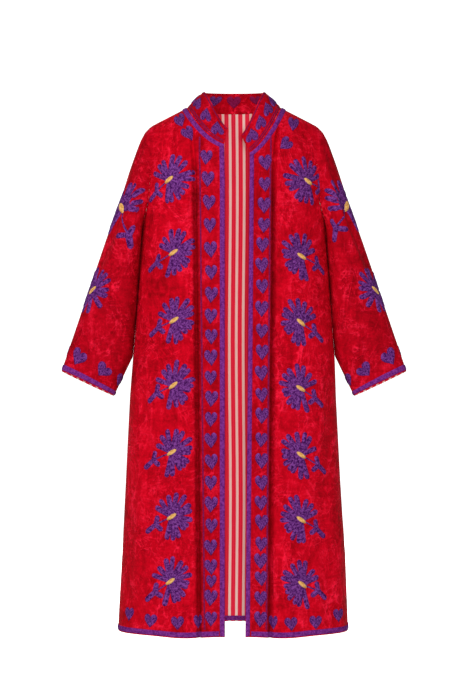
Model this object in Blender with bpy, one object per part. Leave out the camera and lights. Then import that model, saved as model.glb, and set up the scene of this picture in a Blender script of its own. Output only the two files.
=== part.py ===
"""Embroidered velvet coat, filled out with no wearer and open down the front.

Metres, +Z up, the front faces -Y. The origin is between the wearer's shoulders, level with
the neck base. The body is one surface of round-cornered sections, read at a polar angle
(0 at the front centre, 90 degrees at a side seam, 180 at the back centre) and a height. Each
cut piece is a grid of points on it, with a wall made inwards along the surface normal.
"""

import math

import bpy
import numpy as np

# Wall and seam sizes
VELVET = 0.0020
LINING = 0.0010
COLLAR_WALL = 0.0026
BRAID = 0.0012
SEAM_GAP = 0.0003
HALF_GAP = SEAM_GAP / 2
LINING_DEPTH = VELVET + SEAM_GAP
FACING_DEPTH = LINING_DEPTH + LINING + SEAM_GAP

# Heights
HEM = -1.163
UNDERARM = -0.260
CHEST = -0.150
NECK_SHOULDER_X = 0.1046
NECK_SHOULDER_Z = 0.0097
SHOULDER_TIP_Z = -0.027
SHOULDER_SLOPE = 0.514
HEM_DIP = 0.004
HEM_DIP_X = 0.115

# Body sections: height, half width to the wearer's right and left (-X, +X), depths
SECTIONS = np.array([
    # height, side_minus, side_plus, depth_front, depth_back
    (-1.200, 0.2620, 0.2580, 0.132, 0.132),
    (-1.127, 0.2588, 0.2543, 0.130, 0.130),
    (-1.001, 0.2520, 0.2498, 0.128, 0.127),
    (-0.821, 0.2430, 0.2385, 0.126, 0.123),
    (-0.641, 0.2340, 0.2295, 0.124, 0.119),
    (-0.554, 0.2272, 0.2265, 0.123, 0.117),
    (-0.464, 0.2195, 0.2195, 0.122, 0.116),
    (-0.322, 0.2091, 0.2091, 0.121, 0.116),
    (-0.260, 0.2045, 0.2045, 0.120, 0.115),
    (-0.150, 0.2045, 0.2045, 0.115, 0.108),
    (-0.060, 0.2045, 0.2045, 0.106, 0.098),
    (0.060, 0.2045, 0.2045, 0.096, 0.090),
])
SECTION_POWER = 2.4
ROUNDING_FRONT = 0.130
ROUNDING_BACK = 0.105
STEP = 1e-5
ANGLE_STEP = 0.01
SIDE_ANGLE = 90.0

# Front edges: height, x of the edge at -X, x of the edge at +X
FRONT_EDGES = np.array([
    (-1.200, 0.0197, 0.0240),
    (-1.163, 0.0197, 0.0246),
    (-0.550, 0.0197, 0.0303),
    (-0.170, 0.0197, 0.0335),
    (-0.100, 0.0208, 0.0340),
    (-0.080, 0.0215, 0.0342),
])
NECK_FRONT_Z = {-1: -0.0810, 1: -0.1006}
NECK_BACK_Z = 0.0038
NECK_CURVE = 1.8

# The long fold beside each front band: the x of its bottom at chest and hem
FOLD_CHEST_X = {-1: 0.0870, 1: 0.0891}
FOLD_HEM_X = {-1: 0.0768, 1: 0.0800}
FOLD_HALF_WIDTH = 0.0075
FOLD_TOP = 0.0175
FOLD_DEPTH_FRONT = 0.0060
FOLD_DEPTH_BACK = 0.0040
FOLD_FADE = 0.035

# Armhole, as an angle on the body against the share of its height
ARMHOLE_MID = 66.0
ARMHOLE_TIP = 56.6
ARMHOLE_CORNER = 0.30
ARMHOLE_ROUND = 2.2

# Rows: heights above the hem, then equal rows to the underarm, then shares of the height
# from there to the top edge, then drops below the top edge
HEM_ROWS = (0.0, 0.0022, 0.0132)
PLAIN_ROWS = 6
UNDERARM_ROW = len(HEM_ROWS) + PLAIN_ROWS - 1
UPPER_ROWS = (0.0, 0.03, 0.10, 0.22, 0.38, 0.55, 0.70, 0.83)
TOP_ROWS = (0.0138, 0.0030, 0.0)
RING_HALF = len(UPPER_ROWS) + len(TOP_ROWS) - 1
SIDE_COLUMNS = 6
EDGE_COLUMNS = 3
NECK_COLUMNS_BACK = 4
HEM_DIP_SPREAD = 0.05

# Sleeve: the outer line from shoulder tip to cuff, x and z
SLEEVE_OUTER = np.array([
    (0.1760, -0.0270),
    (0.1880, -0.0345),
    (0.2000, -0.0470),
    (0.2095, -0.0650),
    (0.2165, -0.0830),
    (0.2295, -0.1190),
    (0.3090, -0.3510),
    (0.3880, -0.5830),
])
CUFF_INNER = (0.2700, -0.6386)
SLEEVE_CLEAR = 0.0005
CUFF_RISE = 0.48
SLEEVE_RINGS = 11
SLEEVE_CROWD = 1.25
CUFF_RINGS = (0.9746, 0.9958, 1.0)
SLEEVE_HEAD_SHARE = 0.30
SLEEVE_UNDER_SHARE = 0.05
SLEEVE_POWER = 2.3
SLEEVE_DEPTHS = np.array([
    # share of length, depth from front to back
    (0.00, 0.128),
    (0.20, 0.140),
    (0.45, 0.132),
    (0.70, 0.104),
    (1.00, 0.056),
])
CUFF_TILT = 0.12
SLEEVE_FOLDS = (
    # ring point, depth, end share of length
    (7, 0.0050, 0.55),
    (4, 0.0040, 0.70),
    (13, 0.0045, 0.60),
)

# Collar top edge
COLLAR_TOP_X = 0.0684
COLLAR_SIDE_Z = 0.0439
COLLAR_BACK_Z = 0.0480
COLLAR_BACK_Y = 0.0520
COLLAR_FRONT_Y = 0.0900
COLLAR_FRONT_X = {-1: 0.0138, 1: 0.0153}
COLLAR_FRONT_Z = {-1: -0.0467, 1: -0.0616}
COLLAR_CURVE = 3.0
COLLAR_BULGE = 0.0020
COLLAR_ROWS = 3

# Braid along the edges
BRAID_INSET = 0.0022
BRAID_WIDTH = 0.0110
NECK_BRAID_GAP = 0.0005
NECK_BRAID_STATIONS = 14

# Colours
VELVET_RED = (0.48, 0.004, 0.012, 1.0)
BRAID_PURPLE = (0.14, 0.025, 0.26, 1.0)
LINING_PINK = (0.62, 0.16, 0.18, 1.0)


def clear_scene():
    """Remove whatever the file opened with."""
    for item in list(bpy.data.objects):
        bpy.data.objects.remove(item, do_unlink=True)


def make_material(name, colour, roughness):
    """A plain cloth material."""
    material = bpy.data.materials.new(name)
    material.use_nodes = True
    shader = material.node_tree.nodes["Principled BSDF"]
    shader.inputs["Base Color"].default_value = colour
    shader.inputs["Roughness"].default_value = roughness
    shader.inputs["Metallic"].default_value = 0.0
    return material


def unit(vectors):
    """Vectors scaled to length one."""
    vectors = np.asarray(vectors, float)
    return vectors / np.linalg.norm(vectors, axis=-1, keepdims=True)


def smooth(share):
    """A soft step from 0 to 1."""
    share = min(max(share, 0.0), 1.0)
    return share * share * (3.0 - 2.0 * share)


def section(height, column):
    """One named size of the body at a height."""
    return float(np.interp(height, SECTIONS[:, 0], SECTIONS[:, column]))


def half_width(height, side):
    """The body's half width at a height; side is -1 or 1."""
    return section(height, 1 if side < 0 else 2)


def ridge(x):
    """The height of the shoulder line above a distance from the centre, rounded over the neck."""
    if x > NECK_SHOULDER_X:
        return NECK_SHOULDER_Z - (x - NECK_SHOULDER_X) * SHOULDER_SLOPE
    rise = (NECK_SHOULDER_X ** 2 - x ** 2) / (2.0 * NECK_SHOULDER_X)
    return NECK_SHOULDER_Z + rise * SHOULDER_SLOPE


def angle_of(x, height, side):
    """The polar angle, in degrees, at which the section reaches x."""
    share = min(x / half_width(height, side), 1.0)
    return math.degrees(math.asin(share ** (SECTION_POWER / 2.0)))


def body_point(angle, height, side, back):
    """A point of the plain body surface."""
    turn = math.radians(angle)
    x = half_width(height, side) * math.sin(turn) ** (2.0 / SECTION_POWER)
    depth = max(math.cos(turn), 0.0) ** (2.0 / SECTION_POWER)
    depth *= section(height, 4 if back else 3)
    rounding = ROUNDING_BACK if back else ROUNDING_FRONT
    share = min(max((ridge(x) - height) / rounding, 0.0), 1.0)
    depth *= math.sqrt(1.0 - (1.0 - share) ** 2)
    return np.array([side * x, depth if back else -depth, height])


def body_normal(angle, height, side, back):
    """The outward normal of the plain body surface."""
    here = body_point(angle, height, side, back)
    if ridge(abs(here[0])) - height < 2.0 * STEP:
        return unit([side * SHOULDER_SLOPE, 0.0, 1.0])
    turn = ANGLE_STEP if angle < SIDE_ANGLE - 1.0 else -ANGLE_STEP
    around = body_point(angle + turn, height, side, back) - here
    above = body_point(angle, height + STEP, side, back)
    below = body_point(angle, height - STEP, side, back)
    normal = unit(np.cross(around, above - below))
    if angle > SIDE_ANGLE - ANGLE_STEP:
        normal[1] = 0.0
        normal = unit(normal)
    outward = np.array([side * math.sin(math.radians(angle)), 0.3 if back else -0.3, 0.0])
    return normal if normal @ outward > 0.0 else -normal


def fold_x(height, side):
    """Where the bottom of the long fold is at a height."""
    share = (CHEST - height) / (CHEST - HEM)
    return FOLD_CHEST_X[side] + (FOLD_HEM_X[side] - FOLD_CHEST_X[side]) * share


def fold_depth(column, height, top, back):
    """How far the long fold sinks at a column, counted from its bottom, and a height."""
    offset = min(abs(column), 1.0)
    deepest = FOLD_DEPTH_BACK if back else FOLD_DEPTH_FRONT
    fade = smooth((top - height - FOLD_TOP) / FOLD_FADE)
    return deepest * fade * 0.5 * (1.0 + math.cos(math.pi * offset))


def front_edge(height, side):
    """The x of a front edge, as a distance from the centre."""
    return float(np.interp(height, FRONT_EDGES[:, 0], FRONT_EDGES[:, 1 if side < 0 else 2]))


def neckline_front(x, side):
    """The height of the front neckline at x."""
    corner = front_edge(NECK_FRONT_Z[side], side) / NECK_SHOULDER_X
    drop = NECK_SHOULDER_Z - NECK_FRONT_Z[side]
    share = math.sqrt(max(1.0 - (x / NECK_SHOULDER_X) ** 2, 0.0)) / math.sqrt(1.0 - corner ** 2)
    return NECK_SHOULDER_Z - drop * min(share, 1.0) ** NECK_CURVE


def neckline_back(x):
    """The height of the back neckline at x."""
    share = 1.0 - (x / NECK_SHOULDER_X) ** 2
    return NECK_SHOULDER_Z + (NECK_BACK_Z - NECK_SHOULDER_Z) * max(share, 0.0)


def armhole_angle(share):
    """The armhole's polar angle at a share of its height above the underarm."""
    if share < ARMHOLE_CORNER:
        left = (1.0 - share / ARMHOLE_CORNER) ** ARMHOLE_ROUND
        return ARMHOLE_MID + (90.0 - ARMHOLE_MID) * left
    along = (share - ARMHOLE_CORNER) / (1.0 - ARMHOLE_CORNER)
    return ARMHOLE_MID + (ARMHOLE_TIP - ARMHOLE_MID) * along


def hem_height(x, back):
    """The hem's height: the fronts dip a little between edge and side."""
    if back:
        return HEM
    return HEM - HEM_DIP * math.exp(-((x - HEM_DIP_X) / HEM_DIP_SPREAD) ** 2)


def band_columns(height, side, back):
    """The x of each column from the centre or front edge to the long fold's outer lip."""
    fold = fold_x(height, side)
    inner = fold - FOLD_HALF_WIDTH
    outer = fold + FOLD_HALF_WIDTH
    if back:
        return [0.0, inner * 0.5, inner, fold, outer]
    edge = front_edge(height, side)
    braid = edge + BRAID_INSET + BRAID_WIDTH
    return [edge, edge + BRAID_INSET, braid, (braid + inner) / 2.0, inner, fold, outer]


def neck_columns(side, back):
    """The x at which each band column meets the neckline."""
    if back:
        turns = [90.0 * index / NECK_COLUMNS_BACK for index in range(NECK_COLUMNS_BACK + 1)]
        return [NECK_SHOULDER_X * math.sin(math.radians(turn)) for turn in turns]
    edge = front_edge(NECK_FRONT_Z[side], side)
    fixed = [edge, edge + BRAID_INSET, edge + BRAID_INSET + BRAID_WIDTH]
    start = math.degrees(math.asin(fixed[-1] / NECK_SHOULDER_X))
    count = len(band_columns(HEM, side, back)) - len(fixed)
    turns = [start + (90.0 - start) * (index + 1) / count for index in range(count)]
    return fixed + [NECK_SHOULDER_X * math.sin(math.radians(turn)) for turn in turns]


def neckline(x, side, back):
    """The height of the neckline at x."""
    return neckline_back(x) if back else neckline_front(x, side)


def column_x(index, height, side, back):
    """The x of a band column; above the chest the columns spread to their places at the neck."""
    here = band_columns(height, side, back)[index]
    goal = neck_columns(side, back)[index]
    top = neckline(goal, side, back)
    if height <= CHEST or (not back and index < EDGE_COLUMNS):
        return here
    return here + (goal - here) * smooth((height - CHEST) / (top - CHEST))


def column_angle(index, height, share, side, back):
    """The polar angle of any column at a height."""
    bands = len(band_columns(HEM, side, back))
    if index < bands:
        return angle_of(column_x(index, height, side, back), height, side)
    lip = angle_of(column_x(bands - 1, height, side, back), height, side)
    edge = 90.0 if share is None else armhole_angle(share)
    return lip + (edge - lip) * (index - bands + 1) / SIDE_COLUMNS


def column_top(index, side, back):
    """The height at which a column meets the neckline or the shoulder seam."""
    bands = len(band_columns(HEM, side, back))
    if index < bands:
        return neckline(neck_columns(side, back)[index], side, back)
    lip = angle_of(NECK_SHOULDER_X, 0.0, side)
    angle = lip + (armhole_angle(1.0) - lip) * (index - bands + 1) / SIDE_COLUMNS
    return ridge(abs(body_point(angle, 0.0, side, back)[0]))


class Panel:
    """Half of the body's front or back: a grid of points and normals."""

    def __init__(self, side, back):
        self.side = side
        self.back = back
        self.bands = len(band_columns(HEM, side, back))
        self.columns = self.bands + SIDE_COLUMNS
        self.rows = UNDERARM_ROW + len(UPPER_ROWS) + len(TOP_ROWS)
        shape = (self.columns, self.rows, 3)
        self.points = np.zeros(shape)
        self.normals = np.zeros(shape)
        self.tops = [column_top(index, side, back) for index in range(self.columns)]
        for column in range(self.columns):
            for row in range(self.rows):
                self.points[column, row], self.normals[column, row] = self.place(column, row)
        self.open_seams()

    def place(self, column, row):
        """The point and normal of a grid node."""
        top = self.tops[column]
        share = None
        if row <= UNDERARM_ROW:
            height = self.lower_height(column, row)
        elif row < UNDERARM_ROW + len(UPPER_ROWS):
            share = UPPER_ROWS[row - UNDERARM_ROW]
            height = UNDERARM + share * (top - UNDERARM)
        else:
            height = self.upper_height(column, row - UNDERARM_ROW - len(UPPER_ROWS))
            share = (height - UNDERARM) / (top - UNDERARM)
        angle = column_angle(column, height, share, self.side, self.back)
        point = body_point(angle, height, self.side, self.back)
        normal = body_normal(angle, height, self.side, self.back)
        sink = fold_depth(column - self.bands + 2, height, top, self.back)
        return point - sink * normal, normal

    def lower_height(self, column, row):
        """The height of a row between the hem and the underarm."""
        angle = column_angle(column, HEM, None, self.side, self.back)
        start = hem_height(abs(body_point(angle, HEM, self.side, self.back)[0]), self.back)
        if row < len(HEM_ROWS):
            return start + HEM_ROWS[row]
        low = start + HEM_ROWS[-1]
        return low + (UNDERARM - low) * (row - len(HEM_ROWS) + 1) / PLAIN_ROWS

    def upper_height(self, column, row):
        """The height of a row near the top edge; the edge braid ends below the neck braid."""
        if row == 0 and not self.back and 0 < column < EDGE_COLUMNS:
            x = neck_columns(self.side, False)[column]
            return neck_braid_height(x, self.side, BRAID_INSET + BRAID_WIDTH) - 2.0 * SEAM_GAP
        return self.tops[column] - TOP_ROWS[row]

    def open_seams(self):
        """Part the side and shoulder seams from the matching panel by half a gap each."""
        away = HALF_GAP if self.back else -HALF_GAP
        self.points[-1, :UNDERARM_ROW + 1, 1] = away
        for column in range(self.bands - 1, self.columns):
            self.points[column, -1, 1] = away
            self.normals[column, -1] = unit([self.side * SHOULDER_SLOPE, 0.0, 1.0])

    def neck_directions(self):
        """The direction out of the panel across its neckline, for each band column."""
        edge = self.points[:self.bands, -1]
        upward = edge - self.points[:self.bands, -2]
        return across_edge(upward, edge, self.normals[:self.bands, -1])

    def armhole(self):
        """Points, normals and outward directions along the armhole, from underarm to tip."""
        edge = self.points[-1, UNDERARM_ROW:]
        outward = edge - self.points[-2, UNDERARM_ROW:]
        normal = self.normals[-1, UNDERARM_ROW:]
        return edge, normal, across_edge(outward, edge, normal)


def across_edge(direction, edge, normal):
    """The part of a direction that lies in the surface and square to an edge."""
    tangent = unit(np.gradient(edge, axis=0))
    direction = direction - (direction * normal).sum(axis=1, keepdims=True) * normal
    direction = direction - (direction * tangent).sum(axis=1, keepdims=True) * tangent
    return unit(direction)


def all_cells(grid, closed=False):
    """Every cell of a grid of points, as pairs of column and row."""
    columns = len(grid) if closed else len(grid) - 1
    return [(column, row) for column in range(columns) for row in range(grid.shape[1] - 1)]


def wall(name, outer, inner, cells, material):
    """One closed solid between two grids of points, over some of their cells."""
    columns, rows = outer.shape[:2]
    count = columns * rows
    faces = []
    for column, row in cells:
        low = column * rows + row
        low_next = (column + 1) % columns * rows + row
        faces.append((low, low_next, low_next + 1))
        faces.append((low, low_next + 1, low + 1))
    edges = {(face[i], face[(i + 1) % 3]) for face in faces for i in range(3)}
    rim = [(a, b) for a, b in sorted(edges) if (b, a) not in edges]
    solid_faces = list(faces)
    solid_faces += [tuple(corner + count for corner in face[::-1]) for face in faces]
    solid_faces += [(b, a, a + count, b + count) for a, b in rim]
    used = sorted({corner for face in solid_faces for corner in face})
    place = {corner: index for index, corner in enumerate(used)}
    points = np.concatenate([outer.reshape(-1, 3), inner.reshape(-1, 3)])[used]
    solid_faces = [[place[corner] for corner in face] for face in solid_faces]
    mesh = bpy.data.meshes.new(name)
    mesh.from_pydata([tuple(point) for point in points], [], solid_faces)
    if signed_volume(points, solid_faces) < 0.0:
        mesh.flip_normals()
    mesh.materials.append(material)
    mesh.shade_smooth()
    mesh.set_sharp_from_angle(angle=math.radians(50))
    solid = bpy.data.objects.new(name, mesh)
    bpy.context.scene.collection.objects.link(solid)
    return solid


def signed_volume(points, faces):
    """The volume inside a mesh, negative where its faces point inwards."""
    total = 0.0
    for face in faces:
        for second in range(1, len(face) - 1):
            corners = points[[face[0], face[second], face[second + 1]]]
            total += np.dot(corners[0], np.cross(corners[1], corners[2])) / 6.0
    return total


def moved(points, normals, depth):
    """Points moved inwards by a depth, outwards where it is negative."""
    return points - depth * normals


def layer(name, grid, depth, thickness, material, cells=None):
    """A wall that starts at a depth below a grid's points, over some or all of its cells."""
    points, normals = grid
    outer = moved(points, normals, depth)
    inner = moved(points, normals, depth + thickness)
    return wall(name, outer, inner, cells or all_cells(points), material)


def joined_back(minus, plus):
    """One grid across the whole back, from the side at -X to the side at +X."""
    points = np.concatenate([minus.points[::-1], plus.points[1:]])
    normals = np.concatenate([minus.normals[::-1], plus.normals[1:]])
    centre = minus.columns - 1
    normals[centre, :, 0] = 0.0
    normals[centre] = unit(normals[centre])
    return points, normals


def back_half(panel):
    """Half of the back, parted at the centre seam; both halves run from -X to +X."""
    points, normals = panel.points.copy(), panel.normals.copy()
    points[0, :, 0] = panel.side * HALF_GAP
    normals[0, :, 0] = 0.0
    normals[0] = unit(normals[0])
    if panel.side < 0:
        return points[::-1], normals[::-1]
    return points, normals


def front_braid_cells(panel):
    """The cells under the braid down the front edge and along the hem."""
    edge = [(1, row) for row in range(1, panel.rows - len(TOP_ROWS))]
    hem = [(column, 1) for column in range(2, panel.columns - 1)]
    return edge + hem


def neck_braid(side):
    """Points and normals of the braid below the collar, from the front edge to the shoulder."""
    points, normals = [], []
    for index in range(NECK_BRAID_STATIONS + 1):
        share = index / NECK_BRAID_STATIONS
        pair = [neck_braid_point(share, side, lift) for lift in (BRAID_INSET, BRAID_INSET + BRAID_WIDTH)]
        points.append([point for point, _ in pair])
        normals.append([normal for _, normal in pair])
    points, normals = np.array(points), np.array(normals)
    points[-1, :, 1] = -HALF_GAP
    return points, normals


def neck_braid_height(x, side, lift):
    """The height of a line at a distance outside the neckline."""
    reach = NECK_SHOULDER_X + lift
    low_x = front_edge(NECK_FRONT_Z[side], side) + BRAID_INSET
    high = ridge(reach)
    low = neckline_front(low_x, side) - lift
    across = math.sqrt(max(1.0 - (x / reach) ** 2, 0.0)) / math.sqrt(1.0 - (low_x / reach) ** 2)
    return high - (high - low) * across ** NECK_CURVE


def neck_braid_point(share, side, lift):
    """A point at a distance outside the neckline, from the front edge (0) to the shoulder (1)."""
    reach = NECK_SHOULDER_X + lift
    start = math.asin((front_edge(NECK_FRONT_Z[side], side) + BRAID_INSET) / reach)
    x = reach * math.sin(start + (math.pi / 2.0 - start) * share)
    height = neck_braid_height(x, side, lift)
    angle = angle_of(x, height, side)
    return body_point(angle, height, side, False), body_normal(angle, height, side, False)


def along(table, share):
    """A point on a line of points at a share of its length."""
    steps = np.linalg.norm(np.diff(table, axis=0), axis=1)
    places = np.concatenate([[0.0], np.cumsum(steps)]) / steps.sum()
    return np.array([np.interp(share, places, table[:, axis]) for axis in range(table.shape[1])])


def sleeve_inner(share, side):
    """The sleeve's inner line: beside the body's side, then out to the cuff."""
    z = UNDERARM - 0.002 + (CUFF_INNER[1] - UNDERARM + 0.002) * share
    beside = half_width(z, side) + SLEEVE_CLEAR
    outward = CUFF_INNER[0] - (z - CUFF_INNER[1]) * CUFF_RISE
    return np.array([max(beside, outward), z])


def ring_share(index):
    """How far across the sleeve a ring point lies, from the inner line (0) to the outer (1)."""
    height = SHOULDER_TIP_Z - UNDERARM
    shares = list(UPPER_ROWS) + [1.0 - drop / height for drop in TOP_ROWS]
    return shares[index if index <= RING_HALF else 2 * RING_HALF - index]


def sleeve_section(share, side):
    """One plain ring of the sleeve, from its inner line round the front to the outer line."""
    inner = sleeve_inner(share, side)
    outer = along(SLEEVE_OUTER, share)
    depth = float(np.interp(share, SLEEVE_DEPTHS[:, 0], SLEEVE_DEPTHS[:, 1]))
    ring = []
    for index in range(2 * RING_HALF):
        across = ring_share(index)
        bulge = (1.0 - abs(2.0 * across - 1.0) ** SLEEVE_POWER) ** (1.0 / SLEEVE_POWER)
        middle = inner + (outer - inner) * across
        y = depth / 2.0 * bulge * (-1.0 if index <= RING_HALF else 1.0)
        z = middle[1] - y * CUFF_TILT * share
        ring.append((side * middle[0], y, z))
    return np.array(ring)


def sleeve_shares():
    """The places of the sleeve's rings, as shares of its length."""
    plain = [(ring / SLEEVE_RINGS) ** SLEEVE_CROWD for ring in range(SLEEVE_RINGS)]
    return plain + list(CUFF_RINGS)


def sleeve_grid(front, back):
    """Points and normals of one sleeve, ring by ring, from the armhole to the cuff."""
    side = front.side
    front_hole, front_normals, front_across = front.armhole()
    back_hole, back_normals, back_across = back.armhole()
    hole = np.concatenate([front_hole, back_hole[-2:0:-1]])
    across = np.concatenate([front_across, back_across[-2:0:-1]])
    hole_normals = np.concatenate([front_normals, back_normals[-2:0:-1]])
    hole[[0, RING_HALF], 1] = 0.0
    across[0] = (0.0, 0.0, 1.0)
    across[RING_HALF] = unit([side, 0.0, -SHOULDER_SLOPE])
    hole = hole + SEAM_GAP * across
    plain = sleeve_section(0.0, side)
    heights = np.array([ring_share(index) for index in range(2 * RING_HALF)])
    reach = SLEEVE_UNDER_SHARE + (SLEEVE_HEAD_SHARE - SLEEVE_UNDER_SHARE) * heights
    rings = [hole]
    shares = sleeve_shares()
    for share in shares[1:]:
        blend = np.array([1.0 - smooth(share / span) for span in reach])
        rings.append(sleeve_section(share, side) + (hole - plain) * blend[:, None])
    grid = np.array(rings).transpose(1, 0, 2)
    normals = ring_normals(grid)
    grid = folded_sleeve(grid, normals, shares)
    lean = (normals[:, 0] * across).sum(axis=1, keepdims=True)
    normals[:, 0] = unit(normals[:, 0] - np.maximum(lean, 0.0) * across)
    top = slice(RING_HALF - 1, RING_HALF + 2)
    normals[top, 0] = hole_normals[top]
    return grid, normals


def ring_normals(grid):
    """Outward normals of a tube kept as columns of ring points."""
    around = np.roll(grid, -1, axis=0) - np.roll(grid, 1, axis=0)
    downward = np.gradient(grid, axis=1)
    normals = unit(np.cross(around, downward))
    outward = grid - grid.mean(axis=0, keepdims=True)
    if (normals * outward).sum() < 0.0:
        normals = -normals
    return normals


def folded_sleeve(grid, normals, shares):
    """Sink the folds that run from the shoulder down the sleeve."""
    grid = grid.copy()
    for column, depth, end in SLEEVE_FOLDS:
        for ring, share in enumerate(shares):
            strength = smooth(share / 0.12) * (1.0 - smooth(share / end))
            grid[column, ring] -= depth * strength * normals[column, ring]
    return grid


def collar_grid(minus_front, minus_back, plus_back, plus_front):
    """The stand collar: rows from the neckline up to its top edge."""
    lower, across, turns = [], [], []
    for panel, order in (
        (minus_front, range(0, minus_front.bands)),
        (minus_back, range(minus_back.bands - 2, -1, -1)),
        (plus_back, range(1, plus_back.bands - 1)),
        (plus_front, range(plus_front.bands - 1, -1, -1)),
    ):
        directions = panel.neck_directions()
        for column in order:
            lower.append(panel.points[column, -1])
            across.append(directions[column])
            turns.append((panel.side, panel.back, abs(panel.points[column, -1, 0])))
    lower = np.array(lower)
    across = np.array(across)
    seam_columns = (minus_front.bands - 1, len(lower) - plus_front.bands)
    for index in seam_columns:
        across[index] = unit([-np.sign(lower[index, 0]), 0.0, SHOULDER_SLOPE])
        lower[index, 1] = 0.0
    upper = np.array([collar_top(*turn) for turn in turns])
    lower = lower + SEAM_GAP * across
    grid = []
    for row in range(COLLAR_ROWS + 1):
        share = row / COLLAR_ROWS
        grid.append(lower + (upper - lower) * share)
    grid = np.array(grid).transpose(1, 0, 2)
    normals = strip_normals(grid)
    for row in range(1, COLLAR_ROWS):
        grid[:, row] += COLLAR_BULGE * normals[:, row]
    lean = (normals[:, 0] * across).sum(axis=1, keepdims=True)
    normals[:, 0] = unit(normals[:, 0] - np.maximum(lean, 0.0) * across)
    return grid, normals


def collar_top(side, back, x):
    """The collar's top edge above a point of the neckline."""
    turn = math.asin(min(x / NECK_SHOULDER_X, 1.0))
    if back:
        height = COLLAR_SIDE_Z + (COLLAR_BACK_Z - COLLAR_SIDE_Z) * math.cos(turn)
        return (side * COLLAR_TOP_X * math.sin(turn), COLLAR_BACK_Y * math.cos(turn), height)
    low = math.asin(front_edge(NECK_FRONT_Z[side], side) / NECK_SHOULDER_X)
    high = math.asin(COLLAR_FRONT_X[side] / COLLAR_TOP_X)
    turn = high + (turn - low) * (math.pi / 2.0 - high) / (math.pi / 2.0 - low)
    share = math.cos(turn) / math.cos(high)
    height = COLLAR_SIDE_Z - (COLLAR_SIDE_Z - COLLAR_FRONT_Z[side]) * share ** COLLAR_CURVE
    return (side * COLLAR_TOP_X * math.sin(turn), -COLLAR_FRONT_Y * share, height)


def strip_normals(grid):
    """Outward normals of an open band round the neck."""
    around = np.gradient(grid, axis=0)
    upward = np.gradient(grid, axis=1)
    normals = unit(np.cross(around, upward))
    centre = np.array([0.0, 0.0, grid[:, :, 2].mean()])
    if (normals * (grid - centre)).sum() < 0.0:
        normals = -normals
    return normals


def main():
    """Build every piece of the coat."""
    clear_scene()
    velvet = make_material("velvet", VELVET_RED, 0.85)
    braid = make_material("braid", BRAID_PURPLE, 0.80)
    stripes = make_material("lining", LINING_PINK, 0.70)
    sides = {-1: "left", 1: "right"}
    fronts = {side: Panel(side, False) for side in sides}
    backs = {side: Panel(side, True) for side in sides}

    grid = joined_back(backs[-1], backs[1])
    hem = [(column, 1) for column in range(len(grid[0]) - 1)]
    layer("lining_back", grid, LINING_DEPTH, LINING, stripes)
    layer("braid_hem_back", grid, -SEAM_GAP - BRAID, BRAID, braid, hem)
    layer("facing_hem_back", grid, FACING_DEPTH, LINING, braid, hem)

    for side, word in sides.items():
        layer(f"back_{word}", back_half(backs[side]), 0.0, VELVET, velvet)
        front = fronts[side]
        grid = (front.points, front.normals)
        hem = [(column, 1) for column in range(1, front.columns - 1)]
        layer(f"front_{word}", grid, 0.0, VELVET, velvet)
        layer(f"lining_front_{word}", grid, LINING_DEPTH, LINING, stripes)
        layer(f"braid_front_{word}", grid, -SEAM_GAP - BRAID, BRAID, braid, front_braid_cells(front))
        layer(f"braid_neck_{word}", neck_braid(side), -NECK_BRAID_GAP - BRAID, BRAID, braid)
        layer(f"facing_hem_front_{word}", grid, FACING_DEPTH, LINING, braid, hem)

        sleeve = sleeve_grid(front, backs[side])
        cells = all_cells(sleeve[0], closed=True)
        cuff = [(column, len(sleeve_shares()) - 3) for column in range(len(sleeve[0]))]
        layer(f"sleeve_{word}", sleeve, 0.0, VELVET, velvet, cells)
        layer(f"lining_sleeve_{word}", sleeve, LINING_DEPTH, LINING, stripes, cells)
        layer(f"braid_cuff_{word}", sleeve, -SEAM_GAP - BRAID, BRAID, braid, cuff)

    collar = collar_grid(fronts[-1], backs[-1], backs[1], fronts[1])
    layer("collar", collar, 0.0, COLLAR_WALL, velvet)


main()
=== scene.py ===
"""Looks of the embroidered velvet coat: fine cloth, folds, embroidery, lining and braid.

Metres, +Z up, the front faces -Y. The body is one surface of round-cornered sections, read
at a polar angle (0 at the front centre, 90 degrees at a side seam) and a height.
"""
from __future__ import annotations

import logging
import math
from dataclasses import dataclass, field
from enum import Enum
from typing import Callable, Protocol

import bpy
import numpy as np
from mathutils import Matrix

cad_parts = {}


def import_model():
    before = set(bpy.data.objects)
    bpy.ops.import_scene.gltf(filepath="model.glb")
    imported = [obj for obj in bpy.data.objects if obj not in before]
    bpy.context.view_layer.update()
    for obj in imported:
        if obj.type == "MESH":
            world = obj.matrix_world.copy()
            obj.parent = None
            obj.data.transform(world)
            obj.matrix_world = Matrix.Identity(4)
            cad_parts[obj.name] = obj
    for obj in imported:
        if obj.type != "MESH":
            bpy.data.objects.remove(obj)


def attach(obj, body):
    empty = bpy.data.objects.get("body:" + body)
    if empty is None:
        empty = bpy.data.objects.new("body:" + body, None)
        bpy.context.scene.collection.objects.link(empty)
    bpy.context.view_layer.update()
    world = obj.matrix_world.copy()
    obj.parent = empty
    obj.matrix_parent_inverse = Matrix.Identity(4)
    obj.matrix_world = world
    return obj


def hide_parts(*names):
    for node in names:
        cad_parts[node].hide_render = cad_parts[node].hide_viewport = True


LOG = logging.getLogger("coat")

# Walls and gaps
VELVET = 0.0020
LINING = 0.0010
COLLAR_WALL = 0.0026
BRAID = 0.0013
SEAM_GAP = 0.0003
HALF_GAP = SEAM_GAP / 2
LINING_DEPTH = VELVET + SEAM_GAP
FACING_DEPTH = LINING_DEPTH + LINING + SEAM_GAP
THREAD_LIFT = 0.0015
LINE_LIFT = 0.0011
LINE_HALF = 0.0018
THREAD_ROOT = 0.0004
SEAM_SINK = 0.0012

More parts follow.
